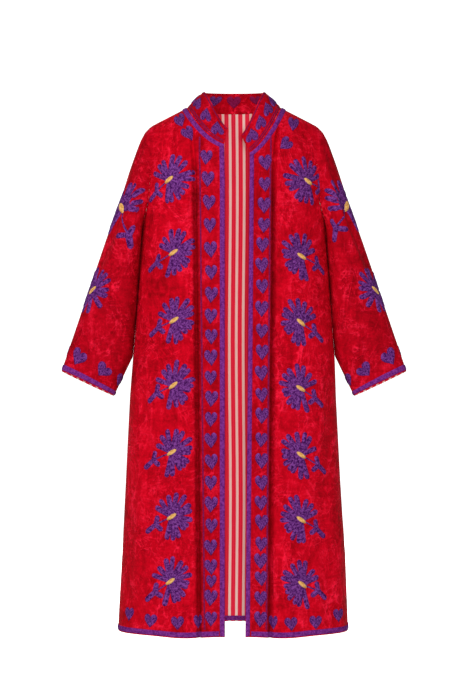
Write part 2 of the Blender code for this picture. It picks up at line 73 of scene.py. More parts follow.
# Body
HEM = -1.163
UNDERARM = -0.260
CHEST = -0.150
NECK_X = 0.1046
NECK_Z = 0.0097
SHOULDER_SLOPE = 0.514
HEM_DIP = 0.004
HEM_DIP_X = 0.115
HEM_DIP_SPREAD = 0.05
SECTIONS = np.array([
    # height, side_minus, side_plus, depth_front, depth_back
    (-1.200, 0.2620, 0.2580, 0.132, 0.132),
    (-1.127, 0.2588, 0.2543, 0.130, 0.130),
    (-1.001, 0.2520, 0.2498, 0.128, 0.127),
    (-0.821, 0.2430, 0.2385, 0.126, 0.123),
    (-0.641, 0.2340, 0.2295, 0.124, 0.119),
    (-0.554, 0.2272, 0.2265, 0.123, 0.117),
    (-0.464, 0.2195, 0.2195, 0.122, 0.116),
    (-0.322, 0.2091, 0.2091, 0.121, 0.116),
    (-0.260, 0.2045, 0.2045, 0.120, 0.115),
    (-0.150, 0.2045, 0.2045, 0.115, 0.108),
    (-0.060, 0.2045, 0.2045, 0.106, 0.098),
    (0.060, 0.2045, 0.2045, 0.096, 0.090),
])
POWER = 2.4
ROUNDING = {False: 0.130, True: 0.105}
FRONT_EDGES = np.array([
    (-1.200, 0.0197, 0.0240),
    (-1.163, 0.0197, 0.0246),
    (-0.550, 0.0197, 0.0303),
    (-0.170, 0.0197, 0.0335),
    (-0.100, 0.0208, 0.0340),
    (-0.080, 0.0215, 0.0342),
])
NECK_FRONT_Z = {-1: -0.0810, 1: -0.1006}
NECK_BACK_Z = 0.0038
NECK_CURVE = 1.8
FOLD_CHEST_X = {-1: 0.0870, 1: 0.0891}
FOLD_HEM_X = {-1: 0.0768, 1: 0.0800}
FOLD_HALF_WIDTH = 0.0075
FOLD_TOP = 0.0175
FOLD_DEPTH = {False: 0.0088, True: 0.0045}
FOLD_FADE = 0.035
ARMHOLE_MID = 66.0
ARMHOLE_TIP = 56.6
ARMHOLE_CORNER = 0.30
ARMHOLE_ROUND = 2.2
BRAID_INSET = 0.0022
BRAID_WIDTH = 0.0110
EDGE_INSET = 0.0005
EDGE_BRAID_WIDTH = {-1: 0.0110, 1: 0.0095}
NECK_BRAID_WIDTH = 0.0098

# Sleeve
SLEEVE_OUTER = np.array([
    (0.1760, -0.0270), (0.1880, -0.0345), (0.2000, -0.0470), (0.2095, -0.0650),
    (0.2165, -0.0830), (0.2295, -0.1190), (0.3090, -0.3510), (0.3880, -0.5830),
])
CUFF_INNER = (0.2700, -0.6386)
SLEEVE_CLEAR = 0.0005
CUFF_RISE = 0.48
SLEEVE_HEAD_SHARE = 0.30
SLEEVE_UNDER_SHARE = 0.05
SLEEVE_POWER = 2.3
SLEEVE_DEPTHS = np.array([(0.00, 0.128), (0.20, 0.140), (0.45, 0.132), (0.70, 0.104), (1.00, 0.056)])
CUFF_TILT = 0.12
CUFF_BRAID = (0.9746, 0.9958)

# Collar top edge
COLLAR_TOP_X = 0.0684
COLLAR_SIDE_Z = 0.0439
COLLAR_BACK_Z = 0.0480
COLLAR_BACK_Y = 0.0520
COLLAR_FRONT_Y = 0.0900
COLLAR_FRONT_X = {-1: 0.0138, 1: 0.0153}
COLLAR_FRONT_Z = {-1: -0.0467, 1: -0.0616}
COLLAR_CURVE = 3.0
COLLAR_BULGE = 0.0020

# Creases and the seam round the armhole
CREASE_DEPTH = 1.1
CREASE_WIDTH = 0.9
ARMHOLE_SINK = 0.0009
ARMHOLE_SPREAD = 0.0090
SEAM_TUCK = 0.0012
LINING_TUCK = 0.0025
LINING_TUCK_SPREAD = 0.012
LINING_TUCK_SHARE = 0.03
# Folds that hang from a sleeve's head: turn, depth and the share of the length where they end
HEAD_FOLDS = ((0.76, 0.0046, 0.55), (0.40, 0.0036, 0.70), (1.25, 0.0042, 0.60))
HEAD_FOLD_SPREAD = 0.055

# Stitches: the size of one chain link, and what sets each petal apart from the next
STITCH_ROW = 0.0019
STITCH_LENGTH = 0.0027
UV_PETAL = 0.0013
UV_PLACE = 3.1
PETAL_LIFTS = (1.0, 0.86, 0.93)
FAN_WITH_SPRIG = (-68.0, 192.0)
FAN_ALL_ROUND = (-160.0, 176.0)

# Shade of the velvet in the long folds and inside the front bands
FOLD_SHADE = (0.42, 0.10, 0.30)
FOLD_SHADE_OFFSET = 0.0036
FOLD_SHADE_WIDTH = 0.0082
# The shade grows downwards from nothing at -0.083 to all of it at -0.194
FOLD_SHADE_GROWTH = -9.0
FOLD_SHADE_START = -0.75
BAND_SHADE = 0.30
BAND_SHADE_EDGE = 0.0060

# Values that all finishes share, and the lining's own
SPECULAR = 0.03
SHEEN_ROUGHNESS = 0.35
# Strength of the lining's faint glow in its own colour: painted light that keeps it bright inside the coat
LINING_GLOW = 0.040


class Side(Enum):
    """A side of the coat, as seen from the front."""

    LEFT = -1
    RIGHT = 1

    @property
    def word(self) -> str:
        """The side's name in piece names."""
        return self.name.lower()


def unit(vectors: np.ndarray) -> np.ndarray:
    """Vectors scaled to length one; the last axis of the array holds x, y and z."""
    vectors = np.asarray(vectors, float)
    return vectors / np.maximum(np.linalg.norm(vectors, axis=-1, keepdims=True), 1e-12)


def soft_step(share: np.ndarray) -> np.ndarray:
    """The height of a soft step from 0 to 1 at a share of it, 0 to 1 or beyond."""
    share = np.clip(share, 0.0, 1.0)
    return share * share * (3.0 - 2.0 * share)


def seam_sink(share: np.ndarray, away: np.ndarray) -> np.ndarray:
    """How far the armhole's seam draws cloth down, by share of its height and distance away."""
    shown = soft_step((share - 0.06) / 0.2) * soft_step((0.97 - share) / 0.25)
    return ARMHOLE_SINK * shown * np.exp(-((away / ARMHOLE_SPREAD) ** 2))


def sampled(tables: tuple[np.ndarray, ...], column: np.ndarray, row: np.ndarray) -> list[np.ndarray]:
    """Read tables of points or normals between their columns and rows.

    Args:
        tables: Arrays [column, row, xyz] of one shape.
        column: Column numbers, whole or not; past the last column comes the first.
        row: Row numbers, whole or not.

    Returns:
        For each table, what it holds there.
    """
    columns, rows = tables[0].shape[:2]
    low = np.floor(column).astype(int)
    base = np.clip(np.floor(row).astype(int), 0, rows - 2)
    part, rest = (column - low)[..., None], (row - base)[..., None]
    here, there = low % columns, (low + 1) % columns
    found = []
    for table in tables:
        bottom = table[here, base] * (1 - part) + table[there, base] * part
        above = table[here, base + 1] * (1 - part) + table[there, base + 1] * part
        found.append(bottom * (1 - rest) + above * rest)
    return found


@dataclass(frozen=True)
class Crease:
    """A soft trough or ridge laid on a cloth, in the cloth's own flat metres.

    The cloth's flat coordinates are the distance across it and the height or length.
    """

    across: float
    along: float
    to_across: float
    to_along: float
    width: float
    depth: float
    bend: float = 0.0

    def sink(self, across: np.ndarray, along: np.ndarray) -> np.ndarray:
        """How far the crease lowers the cloth.

        Args:
            across: Distances across the cloth.
            along: Heights or lengths on the cloth.

        Returns:
            Depths, negative on a ridge.
        """
        run = np.array([self.to_across - self.across, self.to_along - self.along])
        length = math.hypot(*run)
        run = run / length
        offset_across, offset_along = across - self.across, along - self.along
        place = (offset_across * run[0] + offset_along * run[1]) / length
        away = offset_across * run[1] - offset_along * run[0]
        away = away - self.bend * 4.0 * place * (1.0 - place)
        end = soft_step((place + 0.12) / 0.3) * soft_step((1.12 - place) / 0.3)
        return CREASE_DEPTH * self.depth * end * np.exp(-((away / (CREASE_WIDTH * self.width)) ** 2))


def total_sink(creases: tuple[Crease, ...], across: np.ndarray, along: np.ndarray) -> np.ndarray:
    """The depth of several creases together.

    Args:
        creases: The creases.
        across: Distances across the cloth.
        along: Heights or lengths on the cloth.

    Returns:
        The sum of their depths.
    """
    depth = np.zeros(np.broadcast(across, along).shape)
    for crease in creases:
        depth = depth + crease.sink(across, along)
    return depth


def mirrored(creases: tuple[Crease, ...], shift: float, drop: float, scale: float) -> tuple[Crease, ...]:
    """Similar creases for a hidden side: moved, lowered and scaled copies.

    Args:
        creases: The creases to start from.
        shift: Added to the distance across.
        drop: Added to the height.
        scale: Factor on the depth.

    Returns:
        The new creases.
    """
    return tuple(
        Crease(item.across + shift, item.along + drop, item.to_across + shift * 0.7,
               item.to_along + drop * 1.2, item.width * 1.08, item.depth * scale, -item.bend)
        for item in creases
    )


def crease_rows(*rows: tuple[int, ...]) -> tuple[Crease, ...]:
    """Creases in metres from rows of their fields in whole tenths of a millimetre."""
    return tuple(Crease(*(value / 10000.0 for value in row)) for row in rows)


# Creases of a front: distance from the centre line and height
FRONT_CREASES = {
    -1: crease_rows(
        (1050, -2550, 1650, -2150, 90, 22, 40),
        (1200, -2900, 1780, -2620, 100, -20, 30),
        (1800, -1750, 1200, -2450, 120, 24, -50),
        (1950, -3950, 1300, -4100, 120, 20, 40),
        (1100, -3950, 1600, -3700, 80, -18, 20),
        (1350, -5400, 2100, -5150, 140, 22, -60),
        (2050, -6400, 1900, -9000, 160, 30, 100),
        (1100, -5600, 1040, -8600, 110, -22, -40),
        (2220, -7800, 2320, -11200, 150, 34, -60),
        (1500, -9600, 1460, -11500, 140, 26, 40),
        (1860, -9900, 1900, -11580, 120, -28, 20),
        (1120, -10100, 1080, -11550, 100, 22, -30),
        (480, -3000, 500, -5200, 90, 12, 30),
        (420, -7000, 470, -10200, 100, 14, -30),
        (1280, -200, 1600, -1200, 120, 22, 40),
        (2000, -3000, 1500, -3500, 90, 17, 30),
        (1080, -7000, 1760, -6800, 100, 16, -30),
        (2050, -8450, 1300, -8350, 120, 18, 50),
    ),
    1: crease_rows(
        (1000, -2350, 1600, -2550, 100, 22, 40),
        (1900, -2000, 1350, -2700, 110, 24, -50),
        (1150, -3950, 1850, -4050, 120, -20, 40),
        (2000, -4200, 1400, -5450, 110, 20, 50),
        (1250, -5450, 2050, -5550, 130, 22, -50),
        (2080, -6000, 2000, -8800, 160, 32, -80),
        (1060, -6000, 1000, -8400, 110, -20, 40),
        (1960, -8600, 2160, -11400, 150, 32, 80),
        (1600, -9850, 1640, -11520, 130, 26, -40),
        (1220, -9300, 1200, -11400, 120, -24, 30),
        (2360, -9300, 2410, -11500, 120, -26, 40),
        (580, -3600, 610, -6000, 90, 12, -30),
        (560, -7600, 520, -10600, 100, 14, 30),
        (1350, -300, 1750, -1350, 120, 22, -40),
        (1100, -6900, 1900, -7000, 100, 17, 40),
        (2100, -8300, 1200, -8500, 120, 18, -50),
    ),
}
BACK_CREASES = {
    side: mirrored(creases, 0.012, -0.021, 1.1) + crease_rows(
        (300, -3000, 500, -6200, 160, 26, 60),
        (200, -6200, 140, -11200, 200, 32, -60),
    )
    for side, creases in FRONT_CREASES.items()
}
# Creases of a sleeve: distance round the sleeve from its inner line and distance down it
SLEEVE_CREASES = {
    -1: crease_rows(
        (2050, 500, 1850, 3000, 120, 42, 60),
        (1500, 700, 1300, 3300, 130, 36, -60),
        (1780, 600, 1600, 2800, 80, -26, 20),
        (400, 3000, 1500, 2750, 100, 32, 60),
        (600, 3350, 1600, 3500, 90, 24, -40),
        (300, 4200, 1100, 3600, 100, -24, 40),
        (1100, 4500, 600, 5400, 120, 26, 40),
        (500, 4550, 1200, 5200, 90, 20, 30),
        (200, 1300, 1000, 2300, 140, 34, 80),
        (2500, 1000, 2650, 4200, 140, 34, 60),
        (3000, 2900, 2200, 3300, 120, 30, -50),
        (2800, 4400, 2100, 5000, 120, 26, 40),
    ),
    1: crease_rows(
        (2100, 600, 1900, 3200, 120, 42, -60),
        (1520, 600, 1400, 3000, 130, 36, 60),
        (1800, 500, 1680, 2700, 80, -26, 20),
        (400, 3300, 1400, 3000, 110, 28, 50),
        (300, 4400, 1300, 5200, 90, 30, 40),
        (1300, 4400, 400, 5300, 90, 28, -40),
        (600, 3900, 1500, 4100, 100, -24, 30),
        (200, 1400, 1100, 2400, 140, 34, 80),
        (2550, 900, 2620, 4000, 140, 34, -60),
        (2900, 3100, 2100, 3450, 120, 30, 50),
        (2700, 4500, 2150, 5150, 120, 26, -40),
    ),
}


class BodyHalf:
    """Half of the coat's front or back: points of its surface by angle and height."""

    def __init__(self, side: Side, back: bool) -> None:
        """Keep the side and whether this is the back.

        Args:
            side: The side of the coat.
            back: True for the back, False for the front.
        """
        self.sign = side.value
        self.back = back
        self.toward = 1.0 if back else -1.0
        self.creases = (BACK_CREASES if back else FRONT_CREASES)[self.sign]
        self.width_column = 1 if self.sign < 0 else 2

    def half_width(self, height: np.ndarray) -> np.ndarray:
        """The half width of the body at a height."""
        return np.interp(height, SECTIONS[:, 0], SECTIONS[:, self.width_column])

    def depth(self, height: np.ndarray) -> np.ndarray:
        """The depth of the body at a height."""
        return np.interp(height, SECTIONS[:, 0], SECTIONS[:, 4 if self.back else 3])

    @staticmethod
    def ridge(x: np.ndarray) -> np.ndarray:
        """The height of the shoulder line at a distance from the centre."""
        rise = (NECK_X ** 2 - np.minimum(x, NECK_X) ** 2) / (2.0 * NECK_X)
        return NECK_Z + rise * SHOULDER_SLOPE - np.maximum(x - NECK_X, 0.0) * SHOULDER_SLOPE

    def angle_of(self, x: np.ndarray, height: np.ndarray) -> np.ndarray:
        """The polar angle in degrees at which the body reaches x."""
        share = np.clip(x / self.half_width(height), 0.0, 1.0)
        return np.degrees(np.arcsin(share ** (POWER / 2.0)))

    def plain(self, angle: np.ndarray, height: np.ndarray) -> np.ndarray:
        """Points of the surface without its folds.

        Args:
            angle: Polar angles in degrees.
            height: Heights on the coat.

        Returns:
            The points.
        """
        turn = np.radians(angle)
        x = self.half_width(height) * np.sin(turn) ** (2.0 / POWER)
        depth = np.maximum(np.cos(turn), 0.0) ** (2.0 / POWER) * self.depth(height)
        share = np.clip((self.ridge(x) - height) / ROUNDING[self.back], 0.0, 1.0)
        depth = depth * np.sqrt(1.0 - (1.0 - share) ** 2)
        return np.stack([self.sign * x, self.toward * depth, height + 0.0 * x], axis=-1)

    def normal(self, angle: np.ndarray, height: np.ndarray) -> np.ndarray:
        """Outward normals of the surface without its folds.

        Args:
            angle: Polar angles in degrees.
            height: Heights on the coat.

        Returns:
            Unit vectors.
        """
        here = self.plain(angle, height)
        turn = np.where(angle < 89.0, 0.01, -0.01)
        around = self.plain(angle + turn, height) - here
        upward = self.plain(angle, height + 1e-5) - self.plain(angle, height - 1e-5)
        normal = unit(np.cross(around, upward))
        outward = np.stack(
            [self.sign * np.sin(np.radians(angle)), 0.3 * self.toward + 0.0 * angle, 0.0 * angle], axis=-1
        )
        normal = np.where((normal * outward).sum(axis=-1, keepdims=True) < 0.0, -normal, normal)
        at_side = (angle > 89.99)[..., None]
        normal = unit(np.where(at_side, normal * np.array([1.0, 0.0, 1.0]), normal))
        at_ridge = (self.ridge(np.abs(here[..., 0])) - height < 2e-5)[..., None]
        return np.where(at_ridge, unit([self.sign * SHOULDER_SLOPE, 0.0, 1.0]), normal)

    def fold_lines(self, height: np.ndarray) -> tuple[np.ndarray, np.ndarray, np.ndarray]:
        """Distances of the long fold's inner lip, bottom and outer lip from the centre line."""
        last = len(self.neck_columns()) - 1
        return tuple(self.column_x(index, height) for index in (last - 2, last - 1, last))

    def edge_x(self, height: np.ndarray) -> np.ndarray:
        """The x of the front edge."""
        return np.interp(height, FRONT_EDGES[:, 0], FRONT_EDGES[:, self.width_column])

    def band(self, height: np.ndarray) -> list[np.ndarray]:
        """The x of each column from the centre or the front edge to the long fold.

        Args:
            height: Heights on the coat.

        Returns:
            An array of x for each column.
        """
        share = (CHEST - height) / (CHEST - HEM)
        fold = FOLD_CHEST_X[self.sign] + (FOLD_HEM_X[self.sign] - FOLD_CHEST_X[self.sign]) * share
        inner, outer = fold - FOLD_HALF_WIDTH, fold + FOLD_HALF_WIDTH
        if self.back:
            return [0.0 * inner, inner * 0.5, inner, fold, outer]
        edge = self.edge_x(height)
        braid = edge + BRAID_INSET + BRAID_WIDTH
        return [edge, edge + BRAID_INSET, braid, (braid + inner) / 2.0, inner, fold, outer]

    def neck_columns(self) -> list[float]:
        """The x at which each band column meets the neckline.

        Returns:
            One x for each column.
        """
        if self.back:
            return [NECK_X * math.sin(math.radians(22.5 * index)) for index in range(5)]
        edge = float(self.edge_x(NECK_FRONT_Z[self.sign]))
        fixed = [edge, edge + BRAID_INSET, edge + BRAID_INSET + BRAID_WIDTH]
        start = math.degrees(math.asin(fixed[-1] / NECK_X))
        return fixed + [
            NECK_X * math.sin(math.radians(start + (90.0 - start) * (index + 1) / 4)) for index in range(4)
        ]

    def neckline(self, x: np.ndarray) -> np.ndarray:
        """The height of the neckline at x.

        Args:
            x: Distances from the centre line.

        Returns:
            The heights.
        """
        if self.back:
            share = 1.0 - (x / NECK_X) ** 2
            return NECK_Z + (NECK_BACK_Z - NECK_Z) * np.maximum(share, 0.0)
        low = NECK_FRONT_Z[self.sign]
        corner = float(self.edge_x(low)) / NECK_X
        share = np.sqrt(np.maximum(1.0 - (x / NECK_X) ** 2, 0.0)) / math.sqrt(1.0 - corner ** 2)
        return NECK_Z - (NECK_Z - low) * np.minimum(share, 1.0) ** NECK_CURVE

    def column_x(self, column: float, height: np.ndarray) -> np.ndarray:
        """The x of a band column, which may lie between two columns.

        Args:
            column: The column's number, whole or not.
            height: Heights on the coat.

        Returns:
            Distances from the centre line.
        """
        low = min(int(column), len(self.neck_columns()) - 2)
        band, neck = self.band(height), self.neck_columns()
        found = []
        for index in (low, low + 1):
            top = self.neckline(neck[index])
            spread = soft_step((height - CHEST) / (top - CHEST))
            if not self.back and index < 3:
                spread = 0.0
            found.append(band[index] + (neck[index] - band[index]) * spread)
        return found[0] + (found[1] - found[0]) * (column - low)

    def sink(self, angle: np.ndarray, height: np.ndarray) -> np.ndarray:
        """How far the folds and creases lower the surface.

        Args:
            angle: Polar angles in degrees.
            height: Heights on the coat.

        Returns:
            The depths.
        """
        x = np.abs(self.plain(angle, height)[..., 0])
        inner, bottom, outer = self.fold_lines(height)
        offset = np.where(x < bottom, (bottom - x) / np.maximum(bottom - inner, 1e-4),
                          (x - bottom) / np.maximum(outer - bottom, 1e-4))
        top = self.neckline(np.minimum(x, NECK_X))
        top = np.where(x > NECK_X, self.ridge(x), top)
        fade = soft_step((top - height - FOLD_TOP) / FOLD_FADE)
        groove = 0.5 * (1.0 + np.cos(np.pi * np.clip(offset, 0.0, 1.0)))
        edge = soft_step((90.0 - angle) / 6.0) * soft_step((top - height) / 0.02)
        if not self.back:
            edge = edge * soft_step((x - self.edge_x(height) - 0.004) / 0.012)
        creases = total_sink(self.creases, x, height)
        return FOLD_DEPTH[self.back] * fade * groove + creases * edge

    def surface(self, angle: np.ndarray, height: np.ndarray, lift: np.ndarray | float = 0.0) -> np.ndarray:
        """Points of the folded surface, raised by a lift.

        Args:
            angle: Polar angles in degrees.
            height: Heights.
            lift: How far outside the surface.

        Returns:
            The points.
        """
        angle, height = np.broadcast_arrays(np.asarray(angle, float), np.asarray(height, float))
        normal = self.normal(angle, height)
        shift = np.asarray(lift - self.sink(angle, height))
        return self.plain(angle, height) + shift[..., None] * normal

    def hem_height(self, x: np.ndarray) -> np.ndarray:
        """The height of the hem: the fronts dip a little between edge and side.

        Args:
            x: Distances from the centre line.

        Returns:
            The heights.
        """
        if self.back:
            return HEM + 0.0 * x
        return HEM - HEM_DIP * np.exp(-((x - HEM_DIP_X) / HEM_DIP_SPREAD) ** 2)

    def patch(self, centre: tuple[float, float], local: np.ndarray, lift: np.ndarray) -> np.ndarray:
        """Lay flat points round a centre given by its distance from the centre line and height.

        Args:
            centre: The two numbers that give the centre's place.
            local: Flat points round the centre; the second coordinate runs up.
            lift: The height of each point above the cloth.

        Returns:
            Points on the cloth.
        """
        table = np.linspace(0.0, 90.0, 361)
        ring = self.plain(table, np.full(table.shape, centre[1]))
        arcs = np.concatenate([[0.0], np.cumsum(np.linalg.norm(np.diff(ring[:, :2], axis=0), axis=1))])
        start = np.interp(self.angle_of(np.array(abs(centre[0])), centre[1]), table, arcs)
        reach = start + local[..., 0]
        angle = np.interp(np.abs(reach), arcs, table)
        points = self.surface(angle, centre[1] + local[..., 1], lift)
        crossed = (reach < 0.0)[..., None]
        return np.where(crossed, points * np.array([-1.0, 1.0, 1.0]), points)


class Strands:
    """Closed raised patches collected into one mesh."""

    def __init__(self) -> None:
        """Start with nothing."""
        self.points: list[np.ndarray] = []
        self.faces: list[list[int]] = []
        self.uvs: list[tuple[float, float]] = []
        self.count = 0

    def add(self, points: np.ndarray, faces: list[list[int]], uvs: np.ndarray) -> None:
        """Add one closed patch.

        Args:
            points: Its points.
            faces: Its faces, counted from 0.
            uvs: A pair for each point, along and across the thread.
        """
        self.points.append(points.reshape(-1, 3))
        self.faces += [[corner + self.count for corner in face] for face in faces]
        self.uvs += [tuple(pair) for pair in uvs.reshape(-1, 2)]
        self.count += len(self.points[-1])

    def strip(self, top: np.ndarray, under: np.ndarray, uvs: np.ndarray) -> None:
        """Add a closed strip between an upper and a lower grid of points.

        Args:
            top: Points [row, column] of its upper face.
            under: Points of its lower face.
            uvs: A pair for each point, along and across the thread.
        """
        rows, columns = top.shape[:2]
        base = rows * columns
        faces = []
        for row in range(rows - 1):
            for column in range(columns - 1):
                corner = row * columns + column
                quad = [corner, corner + 1, corner + columns + 1, corner + columns]
                faces.append(quad)
                faces.append([item + base for item in quad[::-1]])
        ring = list(range(columns))
        ring += [row * columns + columns - 1 for row in range(1, rows)]
        ring += [(rows - 1) * columns + column for column in range(columns - 2, -1, -1)]
        ring += [row * columns for row in range(rows - 2, 0, -1)]
        for here, there in zip(ring, ring[1:] + ring[:1]):
            faces.append([there, here, here + base, there + base])
        both = np.concatenate([uvs.reshape(-1, 2), uvs.reshape(-1, 2)])
        self.add(np.concatenate([top.reshape(-1, 3), under.reshape(-1, 3)]), faces, both)

    def disc(self, rings: np.ndarray, centre: np.ndarray, under: np.ndarray, uvs: np.ndarray) -> None:
        """Add a closed domed patch.

        Args:
            rings: Points [ring, around], from the outline inwards.
            centre: The top point.
            under: The outline's points below the cloth's face.
            uvs: A pair for each point of the rings.
        """
        count = rings.shape[1]
        faces = []
        for ring in range(len(rings) - 1):
            for index in range(count):
                near = ring * count + index
                far = ring * count + (index + 1) % count
                faces.append([near, far, far + count, near + count])
        last = (len(rings) - 1) * count
        top = len(rings) * count
        low = top + 1
        for index in range(count):
            after = (index + 1) % count
            faces.append([last + index, last + after, top])
            faces.append([after, index, low + index, low + after])
        faces.append([low + index for index in range(count)][::-1])
        points = np.concatenate([rings.reshape(-1, 3), centre[None], under])
        extra = np.concatenate([uvs[-1].mean(axis=0)[None], uvs[0]])
        self.add(points, faces, np.concatenate([uvs.reshape(-1, 2), extra]))

    def build(self, name: str, material: bpy.types.Material) -> bpy.types.Object:
        """Make the piece of a name and material."""
        return make_piece(name, np.concatenate(self.points), self.faces, self.uvs, material)


def make_piece(name: str, points: np.ndarray, faces: list, uvs: list,
               material: bpy.types.Material) -> bpy.types.Object:
    """Make an object from points and faces, with its normals outward.

    Args:
        name: The object's name.
        points: Its points.
        faces: Its faces.
        uvs: A pair for each point.
        material: Its material.

    Returns:
        The object, with a UV map in metres.
    """
    mesh = bpy.data.meshes.new(name)
    mesh.from_pydata(points.tolist(), [], faces)
    layer = mesh.uv_layers.new(name="UVMap")
    corners = np.empty(len(mesh.loops), dtype=np.int32)
    mesh.loops.foreach_get("vertex_index", corners)
    layer.data.foreach_set("uv", np.asarray(uvs, dtype=np.float32)[corners].ravel())
    mesh.materials.append(material)
    piece = bpy.data.objects.new(name, mesh)
    bpy.context.scene.collection.objects.link(piece)
    bpy.ops.object.select_all(action="DESELECT")
    piece.select_set(True)
    bpy.context.view_layer.objects.active = piece
    bpy.ops.object.mode_set(mode="EDIT")
    bpy.ops.mesh.select_all(action="SELECT")
    bpy.ops.mesh.normals_make_consistent(inside=False)
    bpy.ops.object.mode_set(mode="OBJECT")
    bpy.ops.object.shade_smooth_by_angle(angle=math.radians(60.0))
    piece.select_set(False)
    return piece


def cloth(name: str, outer: np.ndarray, inner: np.ndarray, material: bpy.types.Material,
          closed: bool = False) -> bpy.types.Object:
    """Make a cloth wall between two grids of points.

    Args:
        name: The piece's name.
        outer: Points [column, row] of its outer face.
        inner: Points of its inner face.
        material: Its material.
        closed: True where the last column meets the first, as on a sleeve.

    Returns:
        The object; its UV map holds the distance across and along in metres.
    """
    columns, rows = outer.shape[:2]
    count = columns * rows
    grid = np.arange(count).reshape(columns, rows)
    here, there = (grid, np.roll(grid, -1, axis=0)) if closed else (grid[:-1], grid[1:])
    quads = np.stack([here[:, :-1], there[:, :-1], there[:, 1:], here[:, 1:]], axis=-1).reshape(-1, 4)
    rims = [(here[:, 0], there[:, 0]), (there[:, -1], here[:, -1])]
    if not closed:
        rims += [(grid[0, 1:], grid[0, :-1]), (grid[-1, :-1], grid[-1, 1:])]
    sides = [np.stack([b, a, a + count, b + count], axis=-1) for a, b in rims]
    faces = np.concatenate([quads, quads[:, ::-1] + count] + sides)
    steps = np.linalg.norm(np.diff(outer, axis=0), axis=-1)
    across = np.concatenate([np.zeros((1, rows)), np.cumsum(steps, axis=0)])
    middle = columns // 2
    if outer[0, :, 0].min() * outer[-1, :, 0].max() < 0.0:
        across = across - across[middle]
    uvs = np.stack([across, outer[..., 2]], axis=-1).reshape(-1, 2)
    points = np.concatenate([outer.reshape(-1, 3), inner.reshape(-1, 3)])
    return make_piece(name, points, faces.tolist(), np.concatenate([uvs, uvs]).tolist(), material)


@dataclass(frozen=True)
class Fineness:
    """How many parts each coarse column and row is cut into."""

    band: tuple[int, ...]
    side: int
    lower: int
    upper: int
    top: int


FINE_FRONT = Fineness((1, 3, 4, 5, 6, 6), 34, 92, 24, 6)
FINE_BACK = Fineness((5, 5, 6, 6), 34, 92, 24, 6)
PLAIN_FRONT = Fineness((1, 2, 3, 4, 5, 5), 20, 46, 14, 4)
PLAIN_BACK = Fineness((4, 4, 5, 5), 20, 46, 14, 4)


